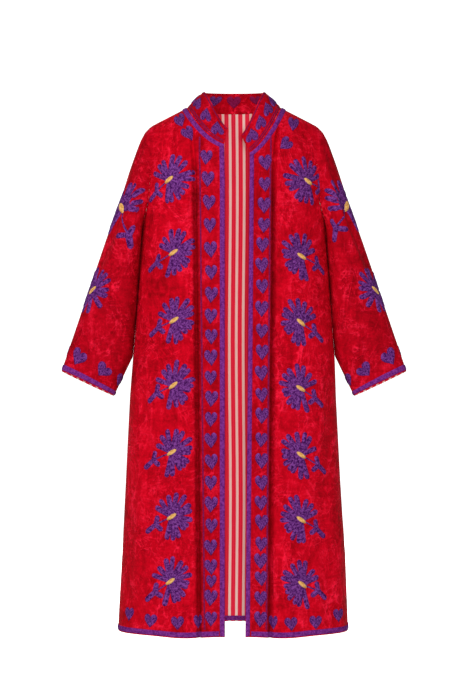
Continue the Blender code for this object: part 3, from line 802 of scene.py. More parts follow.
class Panel:
    """A fine grid over half of the front or back."""

    def __init__(self, half: BodyHalf, fine: Fineness) -> None:
        """Work out the grid's angles and heights.

        Args:
            half: The surface under the panel.
            fine: How fine its grid is.
        """
        self.half = half
        self.fine = fine
        columns: list[float] = []
        for index, parts in enumerate(fine.band):
            columns += [index + part / parts for part in range(parts)]
        self.band_count = len(columns) + 1
        self.columns = columns + [float(len(fine.band))]
        angles, heights = [], []
        for column in self.columns:
            angle, height = self.line(column, 0.0)
            angles.append(angle)
            heights.append(height)
        for part in range(1, fine.side + 1):
            angle, height = self.line(self.columns[-1], part / fine.side)
            angles.append(angle)
            heights.append(height)
        self.angles = np.array(angles)
        self.heights = np.array(heights)

    def armhole_angle(self, share: np.ndarray) -> np.ndarray:
        """The armhole's polar angle at a share of its height.

        Args:
            share: Shares of the armhole's height.

        Returns:
            Polar angles in degrees.
        """
        left = np.clip(1.0 - share / ARMHOLE_CORNER, 0.0, 1.0) ** ARMHOLE_ROUND
        rise = np.clip((share - ARMHOLE_CORNER) / (1.0 - ARMHOLE_CORNER), 0.0, 1.0)
        return ARMHOLE_MID + (90.0 - ARMHOLE_MID) * left + (ARMHOLE_TIP - ARMHOLE_MID) * rise

    def line(self, column: float, out: float) -> tuple[np.ndarray, np.ndarray]:
        """One column of the grid from the hem to the top edge.

        Args:
            column: The band column.
            out: The share from the last band column to the side seam.

        Returns:
            Its angles and heights.
        """
        half, fine = self.half, self.fine
        if out > 0.0:
            lip = float(half.angle_of(np.array(NECK_X), 0.0))
            angle = lip + (float(self.armhole_angle(np.array(1.0))) - lip) * out
            top = float(half.ridge(np.abs(half.plain(np.array(angle), np.array(0.0))[0])))
        else:
            low = min(int(column), len(fine.band) - 1)
            neck = half.neck_columns()
            x = neck[low] + (neck[low + 1] - neck[low]) * (column - low)
            top = float(half.neckline(np.array(x)))
        hem_x = self.x_at(column, out, np.array(HEM))
        start = float(half.hem_height(hem_x))
        rows = [start, start + BRAID_INSET]
        rows += [start + BRAID_INSET + BRAID_WIDTH * (part + 1) / 3 for part in range(3)]
        rows += list(np.linspace(rows[-1], UNDERARM, fine.lower + 1)[1:])
        high = UNDERARM + 0.83 * (top - UNDERARM)
        rows += list(np.linspace(UNDERARM, high, fine.upper + 1)[1:])
        share = np.linspace(0.0, 1.0, fine.top + 1)[1:]
        rows += list(high + (top - high) * (1.0 - (1.0 - share) ** 1.6))
        heights = np.array(rows)
        angles = self.angle_at(column, out, heights, top)
        return angles, heights

    def x_at(self, column: float, out: float, height: np.ndarray) -> np.ndarray:
        """The x of a column at a height below the underarm."""
        angle = self.angle_at(column, out, height, 0.0)
        return np.abs(self.half.plain(angle, height)[..., 0])

    def angle_at(self, column: float, out: float, height: np.ndarray, top: float) -> np.ndarray:
        """The polar angle of a column at a height.

        Args:
            column: The column's number, whole or not.
            out: The share from the last band column to the side seam.
            height: Heights on the coat.
            top: The height of the grid's top edge.

        Returns:
            Polar angles in degrees.
        """
        lip = self.half.angle_of(self.half.column_x(column, height), height)
        share = (height - UNDERARM) / (top - UNDERARM)
        edge = np.where(height <= UNDERARM, 90.0, self.armhole_angle(share))
        return lip + (edge - lip) * out

    def armhole_sink(self, lining: bool) -> np.ndarray:
        """How far the seam round the armhole draws the cloth down.

        Args:
            lining: True for the lining, which is tucked in further.

        Returns:
            The depth at each point of the grid.
        """
        flat = self.half.plain(self.angles, self.heights)
        share = (self.heights - UNDERARM) / (flat[-1, -1, 2] - UNDERARM)
        away = np.linalg.norm(flat - flat[-1:], axis=-1)
        tuck = LINING_TUCK * np.exp(-((away / LINING_TUCK_SPREAD) ** 2)) if lining else 0.0
        return seam_sink(share, away) + tuck

    def points(self, lift: float) -> np.ndarray:
        """The grid's points, with its seams parted from the next panel.

        Args:
            lift: How far outside the surface.

        Returns:
            Points [column, row].
        """
        sink = self.armhole_sink(lift <= -LINING_DEPTH)
        grid = self.half.surface(self.angles, self.heights, lift - sink)
        away = self.half.toward * HALF_GAP
        below = 5 + self.fine.lower
        grid[-1, :below, 1] = away
        seam = slice(self.band_count - 1, None)
        flat = self.half.plain(self.angles[seam, -1], self.heights[seam, -1])
        up = unit([self.half.sign * SHOULDER_SLOPE, 0.0, 1.0])
        grid[seam, -1] = flat + lift * up
        grid[seam, -1, 1] = away
        return grid

    def neckline(self) -> tuple[np.ndarray, np.ndarray]:
        """Points and normals along the neckline, from the centre or front edge outwards.

        Returns:
            The points and their normals.
        """
        angle = self.angles[:self.band_count, -1]
        height = self.heights[:self.band_count, -1]
        points = self.half.plain(angle, height)
        points[-1, 1] = 0.0
        return points, self.half.normal(angle, height)


class SleeveForm:
    """The surface of one sleeve, by a turn round it and a share of its length.

    The turn runs from 0 at the inner line over the front to 1 at the outer line and over the
    back to 2.
    """

    def __init__(self, side: Side) -> None:
        """Work out the armhole and the tables that turn distances into places.

        Args:
            side: The side of the coat.
        """
        self.sign = side.value
        self.front = BodyHalf(side, False)
        self.back = BodyHalf(side, True)
        self.panel = Panel(self.front, PLAIN_FRONT)
        turns = np.linspace(0.0, 2.0, 161)[:-1]
        shares = np.linspace(0.0, 1.0, 81)
        grid = self.raw(turns[:, None], shares[None, :])
        around = np.linalg.norm(np.roll(grid, -1, axis=0) - grid, axis=-1)
        self.table_turns = np.append(turns, 2.0)
        self.table_shares = shares
        self.around = np.concatenate([np.zeros((1, len(shares))), np.cumsum(around, axis=0)])
        down = np.linalg.norm(np.diff(grid, axis=1), axis=-1).mean(axis=0)
        self.down = np.concatenate([[0.0], np.cumsum(down)])

    @staticmethod
    def across(turn: np.ndarray) -> np.ndarray:
        """The share across the sleeve from its inner line to its outer line."""
        return 0.5 - 0.5 * np.cos(np.pi * turn)

    def hole(self, turn: np.ndarray) -> tuple[np.ndarray, np.ndarray]:
        """The armhole's points and outward directions.

        Args:
            turn: Turns round the sleeve.

        Returns:
            The points, and the directions in the cloth square to the armhole.
        """
        share = self.across(turn)
        angle = self.panel.armhole_angle(share)
        x_tip = np.abs(self.front.plain(np.array(ARMHOLE_TIP), np.array(0.0))[0])
        top = float(self.front.ridge(x_tip))
        height = UNDERARM + share * (top - UNDERARM)
        is_back = (turn > 1.0)[..., None]
        points = np.where(is_back, self.back.plain(angle, height), self.front.plain(angle, height))
        normals = np.where(is_back, self.back.normal(angle, height), self.front.normal(angle, height))
        points = points.copy()
        flat = (share < 1e-6) | (share > 1.0 - 1e-6)
        points[flat, 1] = 0.0
        tangent = unit(np.roll(points, -1, axis=0) - np.roll(points, 1, axis=0))
        out = unit(np.cross(normals, tangent))
        out = np.where((out[..., 0] * self.sign < 0.0)[..., None], -out, out)
        out[share < 1e-6] = (0.0, 0.0, 1.0)
        out[share > 1.0 - 1e-6] = unit([self.sign, 0.0, -SHOULDER_SLOPE])
        return points, out

    def section(self, turn: np.ndarray, share: np.ndarray) -> np.ndarray:
        """Plain points of the sleeve without its head.

        Args:
            turn: Turns round the sleeve.
            share: Shares of the length.

        Returns:
            The points.
        """
        z = UNDERARM - 0.002 + (CUFF_INNER[1] - UNDERARM + 0.002) * share
        beside = self.front.half_width(z) + SLEEVE_CLEAR
        inner = np.maximum(beside, CUFF_INNER[0] - (z - CUFF_INNER[1]) * CUFF_RISE)
        steps = np.linalg.norm(np.diff(SLEEVE_OUTER, axis=0), axis=1)
        places = np.concatenate([[0.0], np.cumsum(steps)]) / steps.sum()
        outer_x = np.interp(share, places, SLEEVE_OUTER[:, 0])
        outer_z = np.interp(share, places, SLEEVE_OUTER[:, 1])
        depth = np.interp(share, SLEEVE_DEPTHS[:, 0], SLEEVE_DEPTHS[:, 1])
        across = self.across(turn)
        bulge = (1.0 - np.abs(2.0 * across - 1.0) ** SLEEVE_POWER) ** (1.0 / SLEEVE_POWER)
        y = depth / 2.0 * bulge * np.where(turn > 1.0, 1.0, -1.0)
        x = inner + (outer_x - inner) * across
        height = z + (outer_z - z) * across - y * CUFF_TILT * share
        return np.stack([self.sign * x, y, height], axis=-1)

    def raw(self, turn: np.ndarray, share: np.ndarray) -> np.ndarray:
        """Points of the sleeve without its folds, for a column of turns and a row of shares.

        Args:
            turn: Turns round the sleeve.
            share: Shares of the length.

        Returns:
            Points [turn, share].
        """
        hole, out = self.hole(turn[:, 0])
        head = hole + SEAM_GAP * out - self.section(turn[:, 0], np.zeros(len(turn)))
        reach = SLEEVE_UNDER_SHARE + (SLEEVE_HEAD_SHARE - SLEEVE_UNDER_SHARE) * self.across(turn)
        blend = 1.0 - soft_step(share / reach)
        return self.section(turn, share) + head[:, None, :] * blend[..., None]

    def grid(self, turns: np.ndarray, shares: np.ndarray) -> tuple[np.ndarray, np.ndarray]:
        """Folded points and normals for every turn and share.

        Args:
            turns: Turns round the sleeve, evenly spaced and without the last, which is the first.
            shares: Shares of the length.

        Returns:
            Points and normals [turn, share].
        """
        grid = self.raw(turns[:, None], shares[None, :])
        around = np.roll(grid, -1, axis=0) - np.roll(grid, 1, axis=0)
        down = np.gradient(grid, axis=1)
        normals = unit(np.cross(around, down))
        outward = grid - grid.mean(axis=0, keepdims=True)
        if (normals * outward).sum() < 0.0:
            normals = -normals
        hole, out = self.hole(turns)
        lean = (normals[:, 0] * out).sum(axis=1, keepdims=True)
        normals[:, 0] = unit(normals[:, 0] - np.maximum(lean, 0.0) * out)
        across = np.stack([np.interp(turns, self.table_turns, self.around[:, index])
                           for index in range(len(self.table_shares))], axis=1)
        across = np.stack([np.interp(shares, self.table_shares, row) for row in across])
        along = np.interp(shares, self.table_shares, self.down)[None, :] + 0.0 * across
        sink = total_sink(SLEEVE_CREASES[self.sign], across, along)
        for turn, depth, end in HEAD_FOLDS:
            strength = soft_step(shares / 0.12) * (1.0 - soft_step(shares / end))
            away = (turns[:, None] - turn) / HEAD_FOLD_SPREAD
            sink = sink + depth * np.exp(-away ** 2) * strength[None, :]
        sink = sink * soft_step(shares / 0.07)[None, :] * soft_step((1.0 - shares) / 0.06)[None, :]
        near = soft_step((np.minimum(turns, 2.0 - turns) - 0.02) / 0.12)[:, None]
        seam = seam_sink(self.across(turns)[:, None], along)
        points = grid - (sink * near + seam)[..., None] * normals
        if shares[0] == 0.0:
            points[:, 0] -= (SEAM_GAP + SEAM_TUCK) * out + SEAM_TUCK * normals[:, 0]
        return points, normals

    def patch(self, centre: tuple[float, float], local: np.ndarray, lift: np.ndarray) -> np.ndarray:
        """Lay flat points round a centre given by its turn and share of the length.

        Args:
            centre: The two numbers that give the centre's place.
            local: Flat points round the centre; the second coordinate runs up.
            lift: The height of each point above the cloth.

        Returns:
            Points on the cloth.
        """
        turns = np.linspace(0.0, 2.0, 241)[:-1]
        shares = np.linspace(0.0, 1.0, 121)
        if not hasattr(self, "lookup"):
            self.lookup = self.grid(turns, shares)
        along = np.interp(centre[1], self.table_shares, self.down) - local[..., 1]
        share = np.interp(along, self.down, self.table_shares)
        column = np.array([np.interp(centre[1], self.table_shares, row) for row in self.around])
        start = np.interp(centre[0], self.table_turns, column)
        turn = np.interp(start + local[..., 0], column, self.table_turns)
        row = np.clip(share * (len(shares) - 1), 0.0, len(shares) - 1.001)
        points, normals = sampled(self.lookup, turn / 2.0 * len(turns), row)
        return points + np.asarray(lift)[..., None] * unit(normals)


class CollarForm:
    """The stand collar's surface: a strip from the neckline up to its top edge."""

    def __init__(self, panels: dict[tuple[int, bool], Panel]) -> None:
        """Work out the lower edge, the top edge and the directions across.

        Args:
            panels: The panels under the collar, by side and back.
        """
        lower, normals, tops = [], [], []
        for sign, back in ((-1, False), (-1, True), (1, True), (1, False)):
            panel = panels[sign, back]
            points, around = panel.neckline()
            order = range(len(points))
            if (sign, back) in ((-1, True), (1, False)):
                order = range(len(points) - 1, -1, -1)
            skip = 1 if (sign, back) in ((-1, True), (1, True), (1, False)) else 0
            for index in list(order)[skip:]:
                lower.append(points[index])
                normals.append(around[index])
                tops.append(self.top(sign, back, abs(points[index, 0])))
        lower, normals = np.array(lower), np.array(normals)
        tangent = unit(np.gradient(lower, axis=0))
        across = unit(np.cross(tangent, normals))
        across = np.where(across[:, 2:] < 0.0, -across, across)
        self.start = lower + SEAM_GAP * across
        self.across = across
        self.upper = np.array(tops)
        lengths = np.linalg.norm(np.diff(self.start, axis=0), axis=1)
        self.arc = np.concatenate([[0.0], np.cumsum(lengths)])
        rows = np.linspace(0.0, 1.0, 13)
        self.rows = rows
        grid = self.start[:, None] + (self.upper - self.start)[:, None] * rows[None, :, None]
        around = np.gradient(grid, axis=0)
        upward = np.gradient(grid, axis=1)
        normal = unit(np.cross(around, upward))
        centre = np.array([0.0, 0.0, grid[:, :, 2].mean()])
        if (normal * (grid - centre)).sum() < 0.0:
            normal = -normal
        bulge = COLLAR_BULGE * 4.0 * rows * (1.0 - rows)
        self.points = grid + bulge[None, :, None] * normal
        lean = (normal[:, 0] * across).sum(axis=1, keepdims=True)
        normal[:, 0] = unit(normal[:, 0] - np.maximum(lean, 0.0) * across)
        self.normals = normal

    @staticmethod
    def top(sign: int, back: bool, x: float) -> tuple[float, float, float]:
        """The collar's top edge above a point of the neckline.

        Args:
            sign: -1 for the side at -X, 1 for the other.
            back: True behind the neck.
            x: The point's distance from the centre line.

        Returns:
            The point on the top edge.
        """
        turn = math.asin(min(x / NECK_X, 1.0))
        if back:
            height = COLLAR_SIDE_Z + (COLLAR_BACK_Z - COLLAR_SIDE_Z) * math.cos(turn)
            return (sign * COLLAR_TOP_X * math.sin(turn), COLLAR_BACK_Y * math.cos(turn), height)
        column = 1 if sign < 0 else 2
        edge = float(np.interp(NECK_FRONT_Z[sign], FRONT_EDGES[:, 0], FRONT_EDGES[:, column]))
        low = math.asin(edge / NECK_X)
        high = math.asin(COLLAR_FRONT_X[sign] / COLLAR_TOP_X)
        turn = high + (turn - low) * (math.pi / 2.0 - high) / (math.pi / 2.0 - low)
        share = math.cos(turn) / math.cos(high)
        height = COLLAR_SIDE_Z - (COLLAR_SIDE_Z - COLLAR_FRONT_Z[sign]) * share ** COLLAR_CURVE
        return (sign * COLLAR_TOP_X * math.sin(turn), -COLLAR_FRONT_Y * share, height)

    def patch(self, centre: tuple[float, float], local: np.ndarray, lift: np.ndarray) -> np.ndarray:
        """Lay flat points round a centre given by its distance from the end at -X and share up.

        Args:
            centre: The two numbers that give the centre's place.
            local: Flat points round the centre; the second coordinate runs up.
            lift: The height of each point above the cloth.

        Returns:
            Points on the cloth.
        """
        middle = np.interp(centre[0], self.arc, np.arange(len(self.arc)))
        index = int(middle)
        tall = np.linalg.norm(self.upper[index] - self.start[index])
        row = np.clip(centre[1] + local[..., 1] / tall, 0.0, 1.0)
        narrow = np.linalg.norm(self.upper[index + 1] - self.upper[index - 1])
        wide = np.linalg.norm(self.start[index + 1] - self.start[index - 1])
        stretch = 1.0 + (narrow / wide - 1.0) * row
        along = centre[0] + local[..., 0] / np.maximum(stretch, 0.3)
        column = np.interp(along, self.arc, np.arange(len(self.arc)))
        points, normals = sampled((self.points, self.normals), column, row * (len(self.rows) - 1))
        return points + np.asarray(lift)[..., None] * unit(normals)


class Form(Protocol):
    """A cloth surface that motifs are stitched on."""

    def patch(self, centre: tuple[float, float], local: np.ndarray, lift: np.ndarray) -> np.ndarray:
        """Lay flat points on the cloth round a centre.

        Args:
            centre: Two numbers that say where on this cloth the centre lies.
            local: Flat points round the centre, in metres; the second coordinate runs up.
            lift: The height of each point above the cloth.

        Returns:
            Points on the cloth.
        """


@dataclass(frozen=True)
class Pose2D:
    """Where and how a flat motif lies: its centre on a form, turn, size and mirroring."""

    centre: tuple[float, float]
    turn: float = 0.0
    scale: float = 1.0
    mirror: bool = False
    stretch: float = 1.0

    def lay(self, flat: np.ndarray) -> np.ndarray:
        """Turn, scale and mirror flat points.

        Args:
            flat: Points about the motif's own centre.

        Returns:
            The points about its place on the cloth.
        """
        x, y = flat[..., 0] * (-1.0 if self.mirror else 1.0), flat[..., 1]
        turn = math.radians(self.turn)
        across = (x * math.cos(turn) - y * math.sin(turn)) * self.stretch
        return self.scale * np.stack([across, x * math.sin(turn) + y * math.cos(turn)], axis=-1)


def domed_patch(strands: Strands, form: Form, pose: Pose2D, outline: np.ndarray, sizes: tuple[float, ...],
                heights: tuple[float, ...], lift: float, uvs: np.ndarray) -> None:
    """Add a closed domed patch inside an outline to the threads on a form.

    Args:
        strands: The threads it joins.
        form: The surface it lies on.
        pose: Where it lies.
        outline: Flat points round the motif's centre.
        sizes: The size of each ring as a share of the outline.
        heights: The height of each ring as a share of the lift.
        lift: The height of the top.
        uvs: A pair for each point of the rings.
    """
    rings = np.array([pose.lay(outline * size) for size in sizes])
    top = form.patch(pose.centre, rings, np.array(heights)[:, None] * lift + np.zeros(rings.shape[:2]))
    middle = form.patch(pose.centre, np.zeros((1, 2)), np.array([lift]))[0]
    under = form.patch(pose.centre, rings[0], np.full(len(outline), -THREAD_ROOT))
    strands.disc(top, middle, under, uvs)


@dataclass(frozen=True)
class Heart:
    """A filled heart of chain stitch, its tip down."""

    width: float = 0.0285
    height: float = 0.0345
    points: int = 30

    def outline(self) -> np.ndarray:
        """The heart's outline about its centre.

        Returns:
            Flat points round the heart.
        """
        turn = np.linspace(0.0, 2.0 * math.pi, self.points, endpoint=False)
        x = 16.0 * np.sin(turn) ** 3
        y = 13.0 * np.cos(turn) - 5.0 * np.cos(2 * turn) - 2.0 * np.cos(3 * turn) - np.cos(4 * turn)
        y = np.where(y < -13.5, -13.5 + (y + 13.5) * 0.60, y)
        x = x * (1.0 + 0.05 * np.clip(-y / 13.0, 0.0, 1.0))
        return np.stack([x / 32.0 * self.width, (y + 1.8) / 27.0 * self.height], axis=-1)

    def stitch(self, strands: Strands, form: Form, pose: Pose2D) -> None:
        """Add the heart to the threads on a form, at its pose.

        Args:
            strands: The threads it joins.
            form: The surface it lies on.
            pose: Where it lies.
        """
        outline = self.outline()
        sizes = (1.0, 0.90, 0.55, 0.12)
        arc = np.concatenate([[0.0], np.cumsum(np.linalg.norm(np.diff(outline, axis=0), axis=1))])
        uvs = np.stack([
            np.stack([arc, np.full(len(arc), (1.0 - size) * self.width / 2.0)], axis=-1) for size in sizes
        ])
        domed_patch(strands, form, pose, outline, sizes, (0.15, 0.75, 1.0, 1.0), THREAD_LIFT, uvs)


@dataclass(frozen=True)
class Petal:
    """A round-ended finger of chain stitch."""

    angle: float
    length: float
    width: float
    start: float = 0.006
    bend: float = 0.0
    lift: float = 1.0

    def stitch(self, strands: Strands, form: Form, pose: Pose2D,
               origin: tuple[float, float] = (0.0, 0.0)) -> None:
        """Add the petal to the threads on a form.

        Args:
            strands: The threads it joins.
            form: The surface it lies on.
            pose: Where the motif lies.
            origin: The point of the motif that the petal leaves.
        """
        share = np.array([0.0, 0.2, 0.4, 0.58, 0.74, 0.86, 0.94, 0.985, 1.0])
        along = self.start + (self.length - self.start) * share
        end = np.clip((self.length - along) / (self.width * 0.5), 0.0, 1.0)
        half = self.width / 2.0 * (0.90 + 0.10 * soft_step(share / 0.8))
        half = half * np.sqrt(np.maximum(1.0 - (1.0 - end) ** 2, 0.03))
        side = np.array([-1.0, -0.72, 0.0, 0.72, 1.0])
        across = half[:, None] * side[None, :] + (self.bend * share ** 2)[:, None]
        turn = math.radians(self.angle)
        x = origin[0] + along[:, None] * math.sin(turn) + across * math.cos(turn)
        y = origin[1] + along[:, None] * math.cos(turn) - across * math.sin(turn)
        flat = pose.lay(np.stack([x, y], axis=-1))
        dome = np.array([0.12, 0.82, 1.0, 0.82, 0.12])[None, :]
        lift = THREAD_LIFT * self.lift * dome * np.clip(end * 1.6 + 0.12, 0.12, 1.0)[:, None]
        top = form.patch(pose.centre, flat, lift)
        under = form.patch(pose.centre, flat, np.full(flat.shape[:2], -THREAD_ROOT))
        start = UV_PETAL * self.angle + UV_PLACE * (pose.centre[0] + pose.centre[1])
        uvs = np.stack([along[:, None] + start + 0.0 * across, across], axis=-1)
        strands.strip(top, under, uvs)


@dataclass(frozen=True)
class Sprig:
    """A thin stem with a leaf of three round lobes."""

    stem: float = 0.040
    angle: float = 243.0
    width: float = 0.0034
    lobe_width: float = 0.0118
    lobes: tuple[tuple[float, float], ...] = ((12.0, 0.021), (228.0, 0.030), (124.0, 0.021))

    def stitch(self, strands: Strands, form: Form, pose: Pose2D) -> None:
        """Add the sprig to the threads on a form, at its pose.

        Args:
            strands: The threads it joins.
            form: The surface it lies on.
            pose: Where it lies.
        """
        Petal(self.angle, self.stem + 0.004, self.width, 0.010).stitch(strands, form, pose)
        turn = math.radians(self.angle)
        joint = (self.stem * math.sin(turn), self.stem * math.cos(turn))
        for angle, length in self.lobes:
            Petal(angle, length, self.lobe_width, -0.003).stitch(strands, form, pose, joint)


@dataclass(frozen=True)
class Oval:
    """A filled oval of satin stitch."""

    length: float
    width: float
    turn: float
    lift: float
    points: int = 22

    def stitch(self, strands: Strands, form: Form, pose: Pose2D) -> None:
        """Add the oval to the threads on a form, at its pose.

        Args:
            strands: The threads it joins.
            form: The surface it lies on.
            pose: Where it lies.
        """
        angle = np.linspace(0.0, 2.0 * math.pi, self.points, endpoint=False)
        x, y = np.cos(angle) * self.length / 2.0, np.sin(angle) * self.width / 2.0
        cos, sin = math.cos(math.radians(self.turn)), math.sin(math.radians(self.turn))
        outline = np.stack([x * cos - y * sin, x * sin + y * cos], axis=-1)
        sizes = (1.0, 0.86, 0.5)
        uvs = np.stack([np.stack([x * size, y * size], axis=-1) for size in sizes])
        domed_patch(strands, form, pose, outline, sizes, (0.2, 0.85, 1.0), self.lift, uvs)


@dataclass(frozen=True)
class Flower:
    """A flower of finger petals round an off-centre oval, with an optional sprig."""

    petals: int = 13
    seed: int = 0
    sprig: bool = True
    rise: float = 0.0
    oval_turn: float = 34.0
    stem: float = 0.044

    def petal(self, index: int) -> Petal:
        """One petal of the fan, a little different from the next.

        Args:
            index: Its number, from 0.

        Returns:
            The petal.
        """
        first, last = FAN_WITH_SPRIG if self.sprig else FAN_ALL_ROUND
        wave = math.sin(2.4 * index + 1.7 * self.seed)
        other = math.cos(1.9 * index + 2.3 * self.seed)
        angle = first + (last - first) * (index / (self.petals - 1)) ** 0.88 + 3.0 * wave
        length = 0.0435 + 0.0115 * math.cos(math.radians(angle - 25.0)) ** 2 + 0.0024 * other
        length += self.rise * max(0.0, math.cos(math.radians(angle - 85.0))) ** 2
        return Petal(angle, length, 0.0117 + 0.0006 * wave, 0.004, 0.0014 * other,
                     PETAL_LIFTS[index % len(PETAL_LIFTS)])

    def stitch(self, purple: Strands, orange: Strands, form: Form, pose: Pose2D) -> None:
        """Add the flower to the threads on a form.

        Args:
            purple: The threads of its petals.
            orange: The threads of its oval.
            form: The surface it lies on.
            pose: Where it lies.
        """
        for index in range(self.petals):
            self.petal(index).stitch(purple, form, pose)
        Oval(0.0215, 0.0195, 20.0, THREAD_LIFT * 1.08).stitch(purple, form, pose)
        tilt = self.oval_turn + 9.0 * math.sin(3.1 * self.seed)
        Oval(0.0255, 0.0095, tilt, THREAD_LIFT * 2.2).stitch(orange, form, pose)
        if self.sprig:
            stem = self.stem + 0.004 * math.sin(2.0 * self.seed)
            Sprig(stem, 243.0 - 6.0 * math.cos(self.seed)).stitch(purple, form, pose)


def ribbon(first: np.ndarray, second: np.ndarray, other_first: np.ndarray,
           other_second: np.ndarray) -> np.ndarray:
    """A strip's grid [station, edge] from the two parameters of one edge and those of the other."""
    edges = np.stack([first, second], axis=-1), np.stack([other_first, other_second], axis=-1)
    return np.stack(edges, axis=1)


def line_strip(strands: Strands, lay: Callable, path: np.ndarray, width: float, lift: float,
               stations: int = 3) -> None:
    """Add a long raised strip along a path on a cloth.

    Args:
        strands: The threads it joins.
        lay: A function from the path's parameter rows and lifts to points.
        path: Grid [station, edge] of parameters: the two edges of the strip.
        width: The strip's width in metres.
        lift: Its height.
        stations: How many points it has across.
    """
    shares = np.linspace(0.0, 1.0, stations)
    flat = path[:, :1] + (path[:, 1:] - path[:, :1]) * shares[None, :, None]
    dome = np.sqrt(np.maximum(1.0 - (2.0 * shares - 1.0) ** 4, 0.0)) * 0.8 + 0.2
    top = lay(flat, lift * dome[None, :] + np.zeros(flat.shape[:2]))
    under = lay(flat, np.full(flat.shape[:2], -THREAD_ROOT))
    centre = top[:, stations // 2]
    arc = np.concatenate([[0.0], np.cumsum(np.linalg.norm(np.diff(centre, axis=0), axis=1))])
    uvs = np.stack(np.broadcast_arrays(arc[:, None], width * (shares[None, :] - 0.5)), axis=-1)
    strands.strip(top, under, uvs)


class Tree:
    """A small help for building a node tree."""

    def __init__(self, tree: bpy.types.NodeTree) -> None:
        """Keep the tree."""
        self.tree = tree

    def add(self, kind: str, values: dict | None = None, **settings) -> bpy.types.Node:
        """Add a node.

        Args:
            kind: The node's type.
            values: Input values by name or number.
            settings: The node's own properties.

        Returns:
            The node.
        """
        node = self.tree.nodes.new(kind)
        for name, value in settings.items():
            setattr(node, name, value)
        for name, value in (values or {}).items():
            node.inputs[name].default_value = value
        return node

    def link(self, start: bpy.types.NodeSocket, end: bpy.types.NodeSocket) -> None:
        """Join two sockets."""
        self.tree.links.new(start, end)

    def math(self, operation: str, first: bpy.types.NodeSocket | float,
             second: bpy.types.NodeSocket | float | None = None,
             third: bpy.types.NodeSocket | float | None = None) -> bpy.types.NodeSocket:
        """Add a sum or other operation on sockets or numbers and return its result.

        Args:
            operation: The node's operation.
            first: Its first input.
            second: Its second input.
            third: Its third input.

        Returns:
            The result.
        """
        node = self.add("ShaderNodeMath", operation=operation)
        for index, value in enumerate((first, second, third)):
            if value is None:
                continue
            if isinstance(value, (int, float)):
                node.inputs[index].default_value = value
            else:
                self.link(value, node.inputs[index])
        return node.outputs[0]

    def ramp(self, factor: bpy.types.NodeSocket,
             stops: tuple[tuple[float, tuple[float, float, float]], ...]) -> bpy.types.NodeSocket:
        """Add a colour ramp and return its colour.

        Args:
            factor: What the ramp reads.
            stops: The place and colour of each stop.

        Returns:
            The ramp's colour.
        """
        node = self.add("ShaderNodeValToRGB")
        elements = node.color_ramp.elements
        while len(elements) < len(stops):
            elements.new(0.5)
        for element, (place, colour) in zip(elements, stops):
            element.position = place
            element.color = (*colour, 1.0)
        self.link(factor, node.inputs["Fac"])
        return node.outputs["Color"]

    def weighted(self, first: tuple, *others: tuple) -> bpy.types.NodeSocket:
        """Add up sockets by weight.

        Args:
            first: The first socket and its weight.
            others: More sockets and their weights.

        Returns:
            The sum.
        """
        total = self.math("MULTIPLY", *first)
        for socket, weight in others:
            total = self.math("MULTIPLY_ADD", socket, weight, total)
        return total

    def noise(self, vector: bpy.types.NodeSocket, scale: float, detail: float, roughness: float = 0.5,
              distortion: float = 0.0) -> bpy.types.NodeSocket:
        """Add a noise and return its value.

        Args:
            vector: The coordinates it reads.
            scale: Its scale.
            detail: Its detail.
            roughness: Its roughness.
            distortion: Its distortion.

        Returns:
            The noise's value.
        """
        node = self.add("ShaderNodeTexNoise", {"Scale": scale, "Detail": detail, "Roughness": roughness,
                                               "Distortion": distortion})
        self.link(vector, node.inputs["Vector"])
        return node.outputs["Fac"]

    def stretched(self, vector: bpy.types.NodeSocket, size: tuple[float, float, float],
                  turn: float = 0.0) -> bpy.types.NodeSocket:
        """Scale and turn coordinates and return them.

        Args:
            vector: The coordinates it reads.
            size: The scale along each axis.
            turn: The turn about Y in radians.

        Returns:
            The new coordinates.
        """
        node = self.add("ShaderNodeMapping", {"Scale": size, "Rotation": (0.0, turn, 0.0)})
        self.link(vector, node.inputs["Vector"])
        return node.outputs["Vector"]


def group(name: str, outputs: tuple[tuple[str, str], ...]) -> tuple[bpy.types.NodeTree, Tree, dict]:
    """Start a node group with a Vector input.

    Args:
        name: The group's name.
        outputs: Name and socket type of each output.

    Returns:
        The group, its builder and its input and output nodes.
    """
    made = bpy.data.node_groups.new(name, "ShaderNodeTree")
    made.interface.new_socket("Vector", in_out="INPUT", socket_type="NodeSocketVector")
    for label, kind in outputs:
        made.interface.new_socket(label, in_out="OUTPUT", socket_type=kind)
    tree = Tree(made)
    return made, tree, {"in": tree.add("NodeGroupInput"), "out": tree.add("NodeGroupOutput")}


